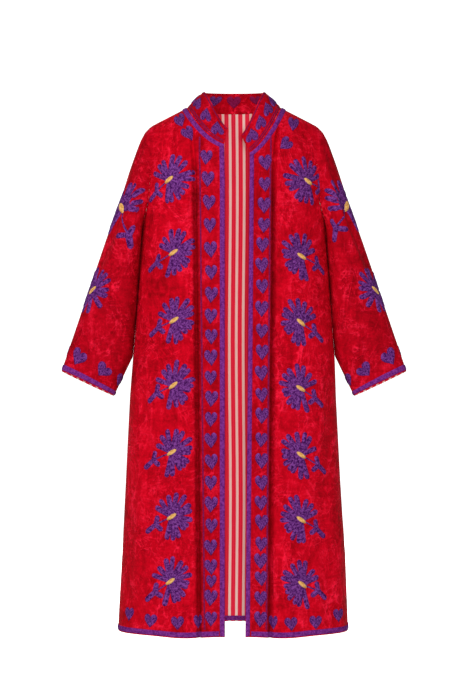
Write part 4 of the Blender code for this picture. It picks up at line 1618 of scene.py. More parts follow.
def nap_group() -> bpy.types.NodeTree:
    """The crushed nap: lighter and darker streaks of its own uneven tone, thin bright crinkle lines that are
    partly painted highlights, and a matching height.

    Returns:
        The node group.
    """
    made, tree, ends = group("crushed_nap", (("Shade", "NodeSocketFloat"), ("Height", "NodeSocketFloat")))
    vector = ends["in"].outputs["Vector"]
    broad = tree.noise(tree.stretched(vector, (7.0, 7.0, 4.5)), 1.0, 3.0, 0.55, 1.1)
    streak = tree.noise(tree.stretched(vector, (34.0, 20.0, 11.0), 0.35), 1.0, 3.0, 0.6, 1.8)
    cross = tree.noise(tree.stretched(vector, (14.0, 20.0, 42.0), -0.5), 1.0, 2.0, 0.6, 1.4)
    pile = tree.noise(vector, 190.0, 3.0, 0.7)
    lines = []
    for size, turn, warp in (((20.0, 12.0, 9.0), 0.5, 2.2), ((10.0, 14.0, 26.0), -0.35, 2.6),
                             ((30.0, 20.0, 26.0), 1.1, 1.6)):
        wave = tree.noise(tree.stretched(vector, size, turn), 1.0, 2.0, 0.55, warp)
        away = tree.math("ABSOLUTE", tree.math("SUBTRACT", wave, 0.5))
        near = tree.math("MAXIMUM", tree.math("MULTIPLY_ADD", away, -16.0, 1.0), 0.0)
        lines.append(tree.math("POWER", near, 2.0))
    patches = tree.noise(tree.stretched(vector, (9.0, 9.0, 6.0)), 1.7, 2.0, 0.5, 0.8)
    shown = tree.math("MULTIPLY", tree.math("MAXIMUM", tree.math("SUBTRACT", patches, 0.36), 0.0), 5.0)
    # Crinkle lines: fine creases in the bump, and painted highlights where they lighten the colour
    crinkle = tree.weighted((lines[2], 0.6), (lines[1], 0.8), (lines[0], 1.0))
    crinkle = tree.math("MULTIPLY", crinkle, tree.math("MINIMUM", shown, 1.0))
    total = tree.weighted((streak, 0.34), (broad, 0.20), (cross, 0.22), (pile, 0.24), (crinkle, 0.15))
    tree.link(total, ends["out"].inputs["Shade"])
    height = tree.weighted((cross, 0.3), (streak, 0.5), (crinkle, 0.25))
    tree.link(height, ends["out"].inputs["Height"])
    return made


def stitch_group() -> bpy.types.NodeTree:
    """Rows of chain stitches from coordinates in metres along and across the thread.

    Returns:
        The node group.
    """
    made, tree, ends = group("chain_stitch", (("Shade", "NodeSocketFloat"), ("Height", "NodeSocketFloat")))
    split = tree.add("ShaderNodeSeparateXYZ")
    tree.link(ends["in"].outputs["Vector"], split.inputs["Vector"])
    across = split.outputs["Y"]
    rows = tree.math("ABSOLUTE", tree.math("SINE", tree.math("MULTIPLY", across, math.pi / STITCH_ROW)))
    lean = tree.math("ABSOLUTE", tree.math("PINGPONG", across, STITCH_ROW / 2.0))
    step = tree.math("ADD", split.outputs["X"], tree.math("MULTIPLY", lean, 1.1))
    links = tree.math("ABSOLUTE", tree.math("SINE", tree.math("MULTIPLY", step, math.pi / STITCH_LENGTH)))
    height = tree.math("MULTIPLY_ADD", rows, 0.55, tree.math("MULTIPLY", links, 0.45))
    patchy = tree.noise(ends["in"].outputs["Vector"], 190.0, 3.0, 0.8)
    broad = tree.noise(ends["in"].outputs["Vector"], 90.0, 2.0)
    strong = tree.math("MULTIPLY_ADD", patchy, 2.6, -0.80)
    # Painted shade: the stitches' height lightens their colour, so the hollows between links and rows are
    # darker
    shade = tree.math("MULTIPLY_ADD", height, 0.25, tree.math("MULTIPLY", strong, 0.50))
    tree.link(tree.math("MULTIPLY_ADD", broad, 0.25, shade), ends["out"].inputs["Shade"])
    tree.link(height, ends["out"].inputs["Height"])
    return made


def fold_shade_mask(tree: Tree, vector: bpy.types.NodeSocket) -> bpy.types.NodeSocket:
    """Where the velvet is painted darker: painted shade beside the bottom of a front's long fold, and a
    darker tone inside its band.

    Args:
        tree: The material's tree.
        vector: Object coordinates.

    Returns:
        1 in the fold, BAND_SHADE inside the band and 0 away from them.
    """
    split = tree.add("ShaderNodeSeparateXYZ")
    tree.link(vector, split.inputs["Vector"])
    x, z = split.outputs["X"], split.outputs["Z"]
    lean = sum(FOLD_HEM_X[sign] - FOLD_CHEST_X[sign] for sign in (-1, 1)) / 2.0 / (CHEST - HEM)
    start = sum(FOLD_CHEST_X.values()) / 2.0 + lean * CHEST - FOLD_SHADE_OFFSET
    side = tree.math("MULTIPLY", tree.math("SIGN", x), (FOLD_CHEST_X[1] - FOLD_CHEST_X[-1]) / 2.0)
    fold = tree.math("ADD", tree.math("MULTIPLY_ADD", z, -lean, start), side)
    away = tree.math("SUBTRACT", tree.math("ABSOLUTE", x), fold)
    share = tree.math("DIVIDE", away, FOLD_SHADE_WIDTH)
    bell = tree.math("EXPONENT", tree.math("MULTIPLY", tree.math("MULTIPLY", share, share), -1.0))
    below = tree.math("MULTIPLY_ADD", z, FOLD_SHADE_GROWTH, FOLD_SHADE_START)
    below = tree.math("MINIMUM", tree.math("MAXIMUM", below, 0.0), 1.0)
    inside = tree.math("MULTIPLY_ADD", away, -1.0 / BAND_SHADE_EDGE, -0.5)
    inside = tree.math("MINIMUM", tree.math("MAXIMUM", inside, 0.0), 1.0)
    inside = tree.math("MULTIPLY", inside, BAND_SHADE)
    return tree.math("MAXIMUM", tree.math("MULTIPLY", bell, below), inside)


@dataclass(frozen=True)
class Finish:
    """A cloth finish: three colours from dark to light and how they meet the light."""

    name: str
    dark: tuple[float, float, float]
    middle: tuple[float, float, float]
    light: tuple[float, float, float]
    roughness: float
    sheen: float
    tint: tuple[float, float, float]
    bump: float

    def start(self) -> tuple[bpy.types.Material, Tree, bpy.types.Node]:
        """Make the material with its plain values.

        Returns:
            The material, its tree and its shader.
        """
        material = bpy.data.materials.new(self.name)
        material.use_nodes = True
        tree = Tree(material.node_tree)
        shader = material.node_tree.nodes["Principled BSDF"]
        values = {"Roughness": self.roughness, "Sheen Weight": self.sheen, "Specular IOR Level": SPECULAR,
                  "Sheen Roughness": SHEEN_ROUGHNESS, "Sheen Tint": (*self.tint, 1.0)}
        for name, value in values.items():
            shader.inputs[name].default_value = value
        return material, tree, shader

    def bumped(self, tree: Tree, shader: bpy.types.Node, height: bpy.types.NodeSocket,
               distance: float) -> None:
        """Join a height to the shader's normal.

        Args:
            tree: The material's tree.
            shader: The material's shader.
            height: The socket of the height.
            distance: The bump's distance in metres.
        """
        bump = tree.add("ShaderNodeBump", {"Strength": self.bump, "Distance": distance})
        tree.link(height, bump.inputs["Height"])
        tree.link(bump.outputs["Normal"], shader.inputs["Normal"])

    def from_group(self, nodes: bpy.types.NodeTree, output: str, low: float, high: float, depth: float,
                   folded: bool = False) -> bpy.types.Material:
        """Make a material whose colour and bump come from a node group.

        Args:
            nodes: The group.
            output: The coordinates it reads, "Object" or "UV".
            low: The shade that gives the dark colour.
            high: The shade that gives the light colour.
            depth: The bump's distance in metres.
            folded: True to paint shade into the long folds and darken the velvet inside the front bands.

        Returns:
            The material.
        """
        material, tree, shader = self.start()
        place = tree.add("ShaderNodeTexCoord")
        made = tree.add("ShaderNodeGroup", node_tree=nodes)
        tree.link(place.outputs[output], made.inputs["Vector"])
        middle = (low + high) / 2.0
        stops = ((low, self.dark), (middle, self.middle), (high, self.light))
        colour = tree.ramp(made.outputs["Shade"], stops)
        # Painted shade in the long folds: the velvet's colour is multiplied darker there and, less strongly,
        # inside the front bands
        if folded:
            shaded = tree.add("ShaderNodeMix", {7: (*FOLD_SHADE, 1.0)}, data_type="RGBA",
                              blend_type="MULTIPLY")
            tree.link(fold_shade_mask(tree, place.outputs["Object"]), shaded.inputs[0])
            tree.link(colour, shaded.inputs[6])
            colour = shaded.outputs[2]
        tree.link(colour, shader.inputs["Base Color"])
        self.bumped(tree, shader, made.outputs["Height"], depth)
        return material


@dataclass(frozen=True)
class StripeFinish(Finish):
    """The lining: pale stripes with pink edges between red bands with darker threads."""

    pitch: float = 0.01595
    first: float = 0.0065
    pale: tuple[float, float, float] = (1.0, 0.74, 0.66)
    sway: float = 0.0012

    def striped(self) -> bpy.types.Material:
        """Make the striped material from distances across the cloth.

        Returns:
            The material.
        """
        material, tree, shader = self.start()
        place = tree.add("ShaderNodeTexCoord")
        split = tree.add("ShaderNodeSeparateXYZ")
        tree.link(place.outputs["UV"], split.inputs["Vector"])
        wave = tree.math("SINE", tree.math("MULTIPLY", split.outputs["Y"], 9.0))
        across = tree.math("ADD", split.outputs["X"], tree.math("MULTIPLY", wave, self.sway))
        turns = tree.math("DIVIDE", tree.math("SUBTRACT", across, self.first - self.pitch / 2.0), self.pitch)
        share = tree.math("FRACT", turns)
        colour = tree.ramp(share, (
            (0.00, self.middle), (0.10, self.middle), (0.14, self.dark), (0.19, self.middle),
            (0.275, self.middle), (0.300, self.light), (0.345, self.pale), (0.655, self.pale),
            (0.700, self.light), (0.725, self.middle), (0.81, self.middle), (0.86, self.dark),
            (0.90, self.middle),
        ))
        fine = tree.noise(place.outputs["UV"], 900.0, 2.0)
        weave = tree.add("ShaderNodeMix", {0: 0.10}, data_type="RGBA", blend_type="MULTIPLY")
        tree.link(colour, weave.inputs[6])
        tree.link(fine, weave.inputs[7])
        tree.link(weave.outputs[2], shader.inputs["Base Color"])
        # Painted light: the lining glows faintly in its own colour so that it stays bright inside the coat
        tree.link(weave.outputs[2], shader.inputs["Emission Color"])
        shader.inputs["Emission Strength"].default_value = LINING_GLOW
        self.bumped(tree, shader, fine, 0.0002)
        return material


# Finish of each material, and the depth of its bump; the plain velvet of the sleeves, back and collar is
# painted a little darker than that of the fronts, as painted shade, and the folded velvet is a little
# lighter because the painted shade of the folds comes on top
VELVET_NAP = (0.85, 0.02, (1.0, 0.05, 0.10), 0.95)
PURPLE_THREAD = (0.9, 0.0, (0.8, 0.6, 1.0), 0.8)
NAP_SHADES = (0.36, 0.74)
NAP_DEPTH = 0.005
VELVETS = (
    Finish("velvet_red", (0.20, 0.0001, 0.0028), (0.50, 0.0006, 0.0100), (0.90, 0.0110, 0.044), *VELVET_NAP),
    Finish("velvet_fold_shaded", (0.25, 0.0001, 0.0030), (0.61, 0.0006, 0.0115), (1.0, 0.0110, 0.046),
           *VELVET_NAP),
)
STITCH_SHADES = (0.28, 0.66)
THREADS = (
    (Finish("thread_purple", (0.010, 0.0008, 0.028), (0.068, 0.006, 0.105), (0.240, 0.058, 0.320),
            *PURPLE_THREAD), 0.0006),
    (Finish("thread_line", (0.120, 0.002, 0.022), (0.185, 0.004, 0.045), (0.250, 0.012, 0.090),
            *PURPLE_THREAD), 0.0005),
    (Finish("braid_purple", (0.050, 0.004, 0.080), (0.150, 0.014, 0.185), (0.260, 0.040, 0.300),
            *PURPLE_THREAD), 0.0008),
    (Finish("thread_orange", (0.48, 0.19, 0.045), (0.72, 0.36, 0.09), (0.90, 0.53, 0.18),
            0.9, 0.0, (1.0, 0.8, 0.5), 0.8), 0.0006),
)
STRIPES = StripeFinish("lining_stripes", (0.62, 0.010, 0.034), (0.94, 0.030, 0.075), (0.92, 0.22, 0.27),
                       0.9, 0.0, (1.0, 0.8, 0.8), 0.2)


@dataclass
class Looks:
    """Every material of the coat."""

    velvet: bpy.types.Material = field(init=False)
    folded: bpy.types.Material = field(init=False)
    thread: bpy.types.Material = field(init=False)
    line: bpy.types.Material = field(init=False)
    braid: bpy.types.Material = field(init=False)
    orange: bpy.types.Material = field(init=False)
    lining: bpy.types.Material = field(init=False)

    def __post_init__(self) -> None:
        """Build the groups and the materials."""
        nap, stitches = nap_group(), stitch_group()
        self.velvet, self.folded = [
            finish.from_group(nap, "Object", *NAP_SHADES, NAP_DEPTH, folded)
            for finish, folded in zip(VELVETS, (False, True))
        ]
        self.thread, self.line, self.braid, self.orange = [
            finish.from_group(stitches, "UV", *STITCH_SHADES, depth) for finish, depth in THREADS
        ]
        self.lining = STRIPES.striped()


def finished(piece: bpy.types.Object, nodes: tuple[str, ...] = ()) -> bpy.types.Object:
    """Attach a piece to the root body and hide the nodes it replaces.

    Args:
        piece: The piece.
        nodes: The nodes it takes the place of.

    Returns:
        The piece.
    """
    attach(piece, "root")
    if nodes:
        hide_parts(*nodes)
    LOG.info("%s: %d faces", piece.name, len(piece.data.polygons))
    return piece


def sewn(place: str, looks: Looks, hearts: Strands, purple: Strands,
         orange: Strands) -> list[bpy.types.Object]:
    """Make the pieces of an embroidery.

    Args:
        place: The end of their names.
        looks: The materials.
        hearts: The threads of the hearts.
        purple: The threads of the flowers' petals.
        orange: The threads of their ovals.

    Returns:
        The pieces.
    """
    parts = (("hearts", hearts, looks.thread), ("flowers", purple, looks.thread),
             ("flower_ovals", orange, looks.orange))
    return [finished(strands.build(f"{word}_{place}", look)) for word, strands, look in parts]


# Motifs of the fronts: heights of the hearts, the line they follow (heights, then distances from
# the centre), then distance, height and sometimes turn of the others
HEART_HEIGHTS = {
    -1: (-0.113, -0.161, -0.213, -0.263, -0.316, -0.366, -0.415, -0.462, -0.507, -0.553, -0.597, -0.643,
         -0.688, -0.734, -0.781, -0.827, -0.874, -0.921, -0.968, -1.011, -1.042, -1.078, -1.124),
    1: (-0.125, -0.173, -0.219, -0.263, -0.306, -0.351, -0.397, -0.446, -0.495, -0.541, -0.587, -0.635,
        -0.680, -0.733, -0.779, -0.827, -0.871, -0.914, -0.961, -0.998, -1.036, -1.080, -1.125),
}
HEART_LINE = {
    -1: ((-1.163, -0.316, -0.260, -0.207, -0.159, -0.110), (0.0504, 0.0504, 0.0537, 0.0556, 0.0570, 0.0622)),
    1: ((-1.163, -0.860, -0.390, -0.310, -0.220, -0.120), (0.0580, 0.0600, 0.0613, 0.0624, 0.0668, 0.0690)),
}
FLOWERS = {
    -1: ((0.143, -0.160), (0.133, -0.321), (0.1315, -0.470), (0.133, -0.613), (0.1365, -0.760),
         (0.1365, -0.901), (0.140, -1.043)),
    1: ((0.163, -0.163), (0.1485, -0.329), (0.147, -0.475), (0.146, -0.620), (0.147, -0.766),
        (0.147, -0.908), (0.150, -1.050)),
}
SMALL_HEART = -1.042
YOKE_HEARTS = {
    -1: ((0.120, -0.026, -24.0), (0.102, -0.057, -28.0)),
    1: ((0.132, -0.034, -8.0), (0.113, -0.082, -50.0)),
}
HEM_HEARTS = {
    -1: ((0.233, -1.121), (0.183, -1.131), (0.124, -1.134), (0.079, -1.130)),
    1: ((0.086, -1.132), (0.125, -1.136), (0.180, -1.135), (0.231, -1.124)),
}
# How much longer the outer petals of each front's first flower are
FIRST_FLOWER_RISE = 0.0120
# Where the chain line beside a band ends, and how far inside the fold's lip it runs
BAND_LINE_TOP = {-1: -0.066, 1: -0.060}
BAND_LINE_INSET = {-1: 0.0050, 1: 0.0020}

# Motifs of each half of the back
BACK_FLOWER_X = 0.150
BACK_INNER_FLOWERS = 6
BACK_INNER_X = 0.061
BACK_INNER_TOP = -0.222
BACK_INNER_STEP = 0.144
BACK_HEM_HEARTS = ((0.030, -1.128), (0.082, -1.127), (0.134, -1.128), (0.183, -1.127), (0.228, -1.126))
BACK_YOKE_HEARTS = ((0.030, -0.030, 6.0), (0.080, -0.032, 20.0), (0.128, -0.046, 30.0))

# Motifs of the sleeves: distance from the centre plane and height of the flowers, and turns
# round the sleeve of the hearts above the cuff
SLEEVE_FLOWERS = {
    -1: ((0.2490, -0.2199), (0.3155, -0.4022)),
    1: ((0.2500, -0.2155), (0.3150, -0.4022)),
}
CUFF_HEARTS = (0.06, 0.380, 0.690, 1.09, 1.38, 1.66)

# Hearts of the collar: distance from its end, share of its height, and turn; for the hearts
# inside it, distance from its middle
COLLAR_HEARTS = {
    -1: ((0.027, 0.52, 148.0), (0.072, 0.50, 150.0), (0.124, 0.50, 172.0), (0.172, 0.52, 180.0),
         (0.218, 0.52, 180.0)),
    1: ((0.024, 0.52, 210.0), (0.061, 0.50, 210.0), (0.104, 0.50, 200.0), (0.150, 0.50, 186.0)),
}
INSIDE_HEARTS = (-0.0615, -0.004, 0.066)
COLLAR_LINES = ((0.90, 0.955), (0.115, 0.165), (0.030, 0.075))


class Front:
    """One front: velvet, lining, braid, facing and embroidery."""

    def __init__(self, side: Side, looks: Looks) -> None:
        """Keep the side and the materials.

        Args:
            side: The side of the coat.
            looks: The materials.
        """
        self.side = side
        self.looks = looks
        self.half = BodyHalf(side, False)
        self.panel = Panel(self.half, FINE_FRONT)
        self.plain = Panel(self.half, PLAIN_FRONT)

    def build(self) -> None:
        """Build and dress the front's pieces."""
        word, looks = self.side.word, self.looks
        velvet = cloth(f"velvet_front_{word}", self.panel.points(0.0), self.panel.points(-VELVET),
                       looks.folded)
        finished(velvet, (f"front_{word}",))
        lining = cloth(f"stripes_front_{word}", self.plain.points(-LINING_DEPTH),
                       self.plain.points(-LINING_DEPTH - LINING), looks.lining)
        finished(lining, (f"lining_front_{word}",))
        braid = self.braid()
        neck = self.neck_braid()
        facing = hem_facing(f"hem_facing_front_{word}", self.plain, 1, looks)
        finished(facing, (f"facing_hem_front_{word}",))
        threads = self.embroidery()

    def lay_xz(self, flat: np.ndarray, lift: np.ndarray) -> np.ndarray:
        """Lay points given by x and height on the front."""
        return self.half.surface(self.half.angle_of(flat[..., 0], flat[..., 1]), flat[..., 1], lift)

    def braid(self) -> bpy.types.Object:
        """The braid down the front edge and along the hem.

        Returns:
            The piece.
        """
        strands = Strands()
        low = float(self.half.hem_height(np.array(0.03))) + BRAID_INSET
        high = NECK_FRONT_Z[self.side.value] - BRAID_INSET - NECK_BRAID_WIDTH - SEAM_GAP
        heights = np.linspace(low, high, 150)
        edge = self.half.edge_x(heights) + EDGE_INSET
        width = EDGE_BRAID_WIDTH[self.side.value]
        below = self.neck_path(BRAID_INSET + NECK_BRAID_WIDTH, 0.001)[:, 0]
        meet = float(np.interp(edge[-1] + width, below[:, 0], below[:, 1])) - SEAM_GAP
        outer = low + (heights - low) * (meet - low) / (high - low)
        path = ribbon(edge, heights, edge + width, outer)
        line_strip(strands, self.lay_xz, path, width, SEAM_GAP + BRAID, 7)
        angles = self.plain.angles[3:-1, 0]
        angles = np.interp(np.linspace(0, len(angles) - 1, 60), np.arange(len(angles)), angles)
        x = np.abs(self.half.plain(angles, np.full(angles.shape, HEM))[:, 0])
        start = self.half.hem_height(x) + BRAID_INSET
        rows = ribbon(angles, start, angles, start + BRAID_WIDTH)
        line_strip(strands, lambda flat, lift: self.half.surface(flat[..., 0], flat[..., 1], lift), rows,
                   BRAID_WIDTH, SEAM_GAP + BRAID, 7)
        piece = strands.build(f"edge_braid_{self.side.word}", self.looks.braid)
        return finished(piece, (f"braid_front_{self.side.word}",))

    def neck_path(self, lift: float, width: float, count: int = 44) -> np.ndarray:
        """The two edges of a strip outside the neckline.

        Args:
            lift: The distance of its inner edge from the neckline.
            width: Its width.
            count: How many stations it has.

        Returns:
            Grid [station, edge] of x and height.
        """
        edge = float(self.half.edge_x(NECK_FRONT_Z[self.side.value])) + EDGE_INSET
        found = []
        for away in (lift, lift + width):
            reach = NECK_X + away
            start = math.asin(edge / reach)
            x = reach * np.sin(start + (math.pi / 2.0 - start) * np.linspace(0.0, 0.93, count))
            high = float(self.half.ridge(np.array(reach)))
            low = float(self.half.neckline(np.array(edge))) - away
            across = np.sqrt(np.maximum(1.0 - (x / reach) ** 2, 0.0)) / math.sqrt(1.0 - (edge / reach) ** 2)
            found.append(np.stack([x, high - (high - low) * across ** NECK_CURVE], axis=-1))
        return np.stack(found, axis=1)

    def neck_braid(self) -> bpy.types.Object:
        """The braid below the collar.

        Returns:
            The piece.
        """
        strands = Strands()
        line_strip(strands, self.lay_xz, self.neck_path(BRAID_INSET, NECK_BRAID_WIDTH), NECK_BRAID_WIDTH,
                   SEAM_GAP + BRAID, 7)
        piece = strands.build(f"neckline_braid_{self.side.word}", self.looks.braid)
        return finished(piece, (f"braid_neck_{self.side.word}",))

    def embroidery(self) -> list[bpy.types.Object]:
        """The hearts, flowers and chain lines of the front.

        Returns:
            The pieces.
        """
        sign, word = self.side.value, self.side.word
        hearts, purple, orange, lines = Strands(), Strands(), Strands(), Strands()
        for index, height in enumerate(HEART_HEIGHTS[sign]):
            x = float(np.interp(height, *HEART_LINE[sign])) + 0.0008 * math.sin(2.2 * index + sign)
            scale = 0.82 if height == SMALL_HEART else 1.0 + 0.05 * math.sin(3.7 * index + sign)
            turn = 5.0 * math.sin(1.3 * index + 0.6 * sign) + (8.0 if index == 0 else 0.0)
            Heart().stitch(hearts, self.half, Pose2D((x, height), turn, scale))
        for x, height, turn in YOKE_HEARTS[sign]:
            Heart(0.0305, 0.0340).stitch(hearts, self.half, Pose2D((x, height), turn, 0.98))
        for index, (x, height) in enumerate(HEM_HEARTS[sign]):
            width = 0.0190 if x < 0.09 else 0.0300
            Heart(width, 0.0300).stitch(hearts, self.half, Pose2D((x, height), 4.0 * math.sin(2.0 * index)))
        for index, centre in enumerate(FLOWERS[sign]):
            flower = Flower(13, index + (3 if sign > 0 else 0), rise=0.0 if index else FIRST_FLOWER_RISE)
            pose = Pose2D(centre, 3.0 * math.sin(1.9 * index + sign), 1.0, True)
            flower.stitch(purple, orange, self.half, pose)
        heights = np.linspace(HEM + 0.016, BAND_LINE_TOP[sign], 140)
        inner = np.minimum(self.half.fold_lines(heights)[0], self.half.fold_lines(np.array([-0.12]))[0])
        inner = inner - BAND_LINE_INSET[sign]
        path = ribbon(inner - LINE_HALF, heights, inner + LINE_HALF, heights)
        line_strip(lines, self.lay_xz, path, 2.0 * LINE_HALF, LINE_LIFT * 0.6, 3)
        pieces = sewn(f"front_{word}", self.looks, hearts, purple, orange)
        return pieces + [finished(lines.build(f"band_line_{word}", self.looks.line))]


@dataclass(frozen=True)
class Cut:
    """A cut piece laid flat: its width, length and area."""

    width: float
    length: float
    area: float

    @property
    def flat(self) -> tuple[float, float]:
        """Width and length."""
        return self.width, self.length


def hem_facing(name: str, panel: Panel, skip: int, looks: Looks,
               other: Panel | None = None) -> bpy.types.Object:
    """The braid inside the hem, from beside the front edge to the side seam.

    Args:
        name: The piece's name.
        panel: The panel it lies in.
        skip: How many columns it leaves at the front edge.
        looks: The materials.
        other: The second half of a whole back.

    Returns:
        The piece.
    """
    def rows(half_panel: Panel, depth: float) -> np.ndarray:
        """The rows of a panel's grid that the facing covers, at a depth."""
        return half_panel.points(-depth)[skip:, 1:5]

    grids = []
    for depth in (FACING_DEPTH, FACING_DEPTH + LINING):
        grid = rows(panel, depth)
        if other is not None:
            grid = np.concatenate([grid[::-1], rows(other, depth)[1:]])
        grids.append(grid[1:-1] if other is not None else grid[:-1])
    return cloth(name, grids[0], grids[1], looks.braid)


class Back:
    """The back: velvet, lining, braid, facing and embroidery."""

    def __init__(self, looks: Looks) -> None:
        """Keep the materials and work out the two halves.

        Args:
            looks: The materials.
        """
        self.looks = looks
        self.halves = {side: BodyHalf(side, True) for side in Side}
        self.fine = {side: Panel(half, FINE_BACK) for side, half in self.halves.items()}
        self.plain = {side: Panel(half, PLAIN_BACK) for side, half in self.halves.items()}

    def joined(self, panels: dict[Side, Panel], lift: float) -> np.ndarray:
        """One grid across the back, from the side at -X to the side at +X.

        Args:
            panels: The panels of the two halves.
            lift: How far outside the surface.

        Returns:
            Points [column, row].
        """
        minus, plus = panels[Side.LEFT].points(lift), panels[Side.RIGHT].points(lift)
        grid = np.concatenate([minus[::-1], plus[1:]])
        centre = len(minus) - 1
        grid[centre] = (minus[0] + plus[0]) / 2.0
        return grid

    def half_grid(self, side: Side, lift: float) -> np.ndarray:
        """Half of the back, parted from the other half at the centre seam.

        Args:
            side: The side of the coat.
            lift: How far outside the surface.

        Returns:
            Points [column, row].
        """
        grid = self.fine[side].points(lift)
        seam = soft_step((np.abs(grid[..., 0]) - 0.001) / 0.006) - 1.0
        grid[..., 1] += seam * SEAM_SINK
        grid[0, :, 0] = side.value * HALF_GAP
        return grid

    def build(self) -> None:
        """Build and dress the back's pieces."""
        looks = self.looks
        for side in Side:
            outer, inner = self.half_grid(side, 0.0), self.half_grid(side, -VELVET)
            velvet = cloth(f"velvet_back_{side.word}", outer, inner, looks.velvet)
            finished(velvet, (f"back_{side.word}",))
        lining = cloth("stripes_back", self.joined(self.plain, -LINING_DEPTH),
                       self.joined(self.plain, -LINING_DEPTH - LINING), looks.lining)
        finished(lining, ("lining_back",))
        facing = hem_facing("hem_facing_back", self.plain[Side.LEFT], 0, looks, self.plain[Side.RIGHT])
        finished(facing, ("facing_hem_back",))
        braid = self.braid()
        threads = self.embroidery()

    def braid(self) -> bpy.types.Object:
        """The braid along the back hem.

        Returns:
            The piece.
        """
        strands = Strands()
        angles = np.linspace(-89.6, 89.6, 130)

        def lay(flat: np.ndarray, lift: np.ndarray) -> np.ndarray:
            """Lay points given by angle, negative at -X, and height on the back."""
            turned = np.abs(flat[..., 0])
            minus = self.halves[Side.LEFT].surface(turned, flat[..., 1], lift)
            plus = self.halves[Side.RIGHT].surface(turned, flat[..., 1], lift)
            return np.where((flat[..., 0] < 0.0)[..., None], minus, plus)

        low = np.full(angles.shape, HEM + BRAID_INSET)
        path = ribbon(angles, low, angles, np.full(angles.shape, HEM + BRAID_INSET + BRAID_WIDTH))
        line_strip(strands, lay, path, BRAID_WIDTH, SEAM_GAP + BRAID, 7)
        return finished(strands.build("hem_braid_back", self.looks.braid), ("braid_hem_back",))

    def embroidery(self) -> list[bpy.types.Object]:
        """Hearts and flowers like those of the front.

        Returns:
            The pieces.
        """
        hearts, purple, orange = Strands(), Strands(), Strands()
        for side, half in self.halves.items():
            sign = side.value
            for index, (_, height) in enumerate(FLOWERS[-1]):
                centre = BACK_FLOWER_X, height + 0.006 * sign
                pose = Pose2D(centre, 4.0 * math.sin(1.7 * index + sign), 1.0, True)
                Flower(13, index + 5 + sign).stitch(purple, orange, half, pose)
            for x, height in BACK_HEM_HEARTS:
                Heart(0.0270, 0.0285).stitch(hearts, half, Pose2D((x, height), 5.0 * math.sin(40.0 * x)))
            for x, height, turn in BACK_YOKE_HEARTS:
                Heart().stitch(hearts, half, Pose2D((x, height), turn, 0.95))
            for index in range(BACK_INNER_FLOWERS):
                height = BACK_INNER_TOP - BACK_INNER_STEP * index + 0.004 * sign
                pose = Pose2D((BACK_INNER_X, height), 5.0 * math.sin(2.0 * index + sign), 0.90)
                Flower(13, index + 11 + sign, False).stitch(purple, orange, half, pose)
        return sewn("back", self.looks, hearts, purple, orange)


class Sleeve:
    """One sleeve: velvet, lining, cuff braid and embroidery."""

    def __init__(self, side: Side, looks: Looks) -> None:
        """Keep the side and the materials.

        Args:
            side: The side of the coat.
            looks: The materials.
        """
        self.side = side
        self.looks = looks
        self.form = SleeveForm(side)

    def grids(self, turns: int, rings: int, depths: tuple[float, ...]) -> list[np.ndarray]:
        """Grids of points at several depths below the surface.

        Args:
            turns: How many columns go round the sleeve.
            rings: How many rings it has above the cuff's braid.
            depths: The depths.

        Returns:
            Points [column, ring] for each depth.
        """
        above = np.linspace(0.0, 1.0, rings) ** 1.1 * 0.97
        shares = np.concatenate([above, [CUFF_BRAID[0], 0.985, CUFF_BRAID[1], 1.0]])
        places = np.linspace(0.0, 2.0, turns + 1)[:-1]
        points, normals = self.form.grid(places, shares)
        tuck = LINING_TUCK * np.exp(-((shares / LINING_TUCK_SHARE) ** 2))[None, :, None]
        return [points - (depth + (tuck if depth >= LINING_DEPTH else 0.0)) * normals for depth in depths]

    def build(self) -> None:
        """Build and dress the sleeve's pieces."""
        word, looks = self.side.word, self.looks
        outer, inner = self.grids(84, 84, (0.0, VELVET))
        velvet = finished(cloth(f"velvet_sleeve_{word}", outer, inner, looks.velvet, True),
                          (f"sleeve_{word}",))
        outer, inner = self.grids(60, 48, (LINING_DEPTH, LINING_DEPTH + LINING))
        lining = finished(cloth(f"stripes_sleeve_{word}", outer, inner, looks.lining, True),
                          (f"lining_sleeve_{word}",))
        braid = self.braid()
        threads = self.embroidery()

    def braid(self) -> bpy.types.Object:
        """The braid round the cuff.

        Returns:
            The piece.
        """
        shares = np.linspace(CUFF_BRAID[0], CUFF_BRAID[1], 7)
        turns = np.linspace(0.0, 2.0, 91)[:-1]
        full = np.concatenate([[0.96], shares, [1.0]])
        points, normals = self.form.grid(turns, full)
        points, normals = points[:, 1:-1], normals[:, 1:-1]
        dome = np.sqrt(1.0 - np.linspace(-1.0, 1.0, 7) ** 4) * 0.8 + 0.2
        top = points + normals * ((SEAM_GAP + BRAID) * dome)[None, :, None]
        under = points - normals * THREAD_ROOT
        piece = cloth(f"cuff_braid_{self.side.word}", top, under, self.looks.braid, True)
        return finished(piece, (f"braid_cuff_{self.side.word}",))

    def embroidery(self) -> list[bpy.types.Object]:
        """Flowers down the outer side and hearts above the cuff.

        Returns:
            The pieces.
        """
        sign, word = self.side.value, self.side.word
        hearts, purple, orange = Strands(), Strands(), Strands()
        upper, lower = SLEEVE_FLOWERS[sign]
        level = SleeveLevel(self.form)
        Flower(13, 2 + sign, True, oval_turn=30.0, stem=0.061).stitch(
            purple, orange, level, Pose2D(upper, 30.0, 1.08, False, 1.28))
        Flower(15, 3 + sign, False, oval_turn=122.0).stitch(
            purple, orange, level, Pose2D(lower, 12.0, 0.95, False, 1.08))
        for index, turn in enumerate(CUFF_HEARTS):
            tilt = 14.0 + 4.0 * math.sin(2.0 * index)
            share = 0.914 + 0.014 * (1.0 - math.cos(math.pi * turn)) / 2.0
            Heart(0.0320, 0.0340).stitch(hearts, self.form, Pose2D((turn, share), tilt, 1.0, False, 1.15))
        return sewn(f"sleeve_{word}", self.looks, hearts, purple, orange)


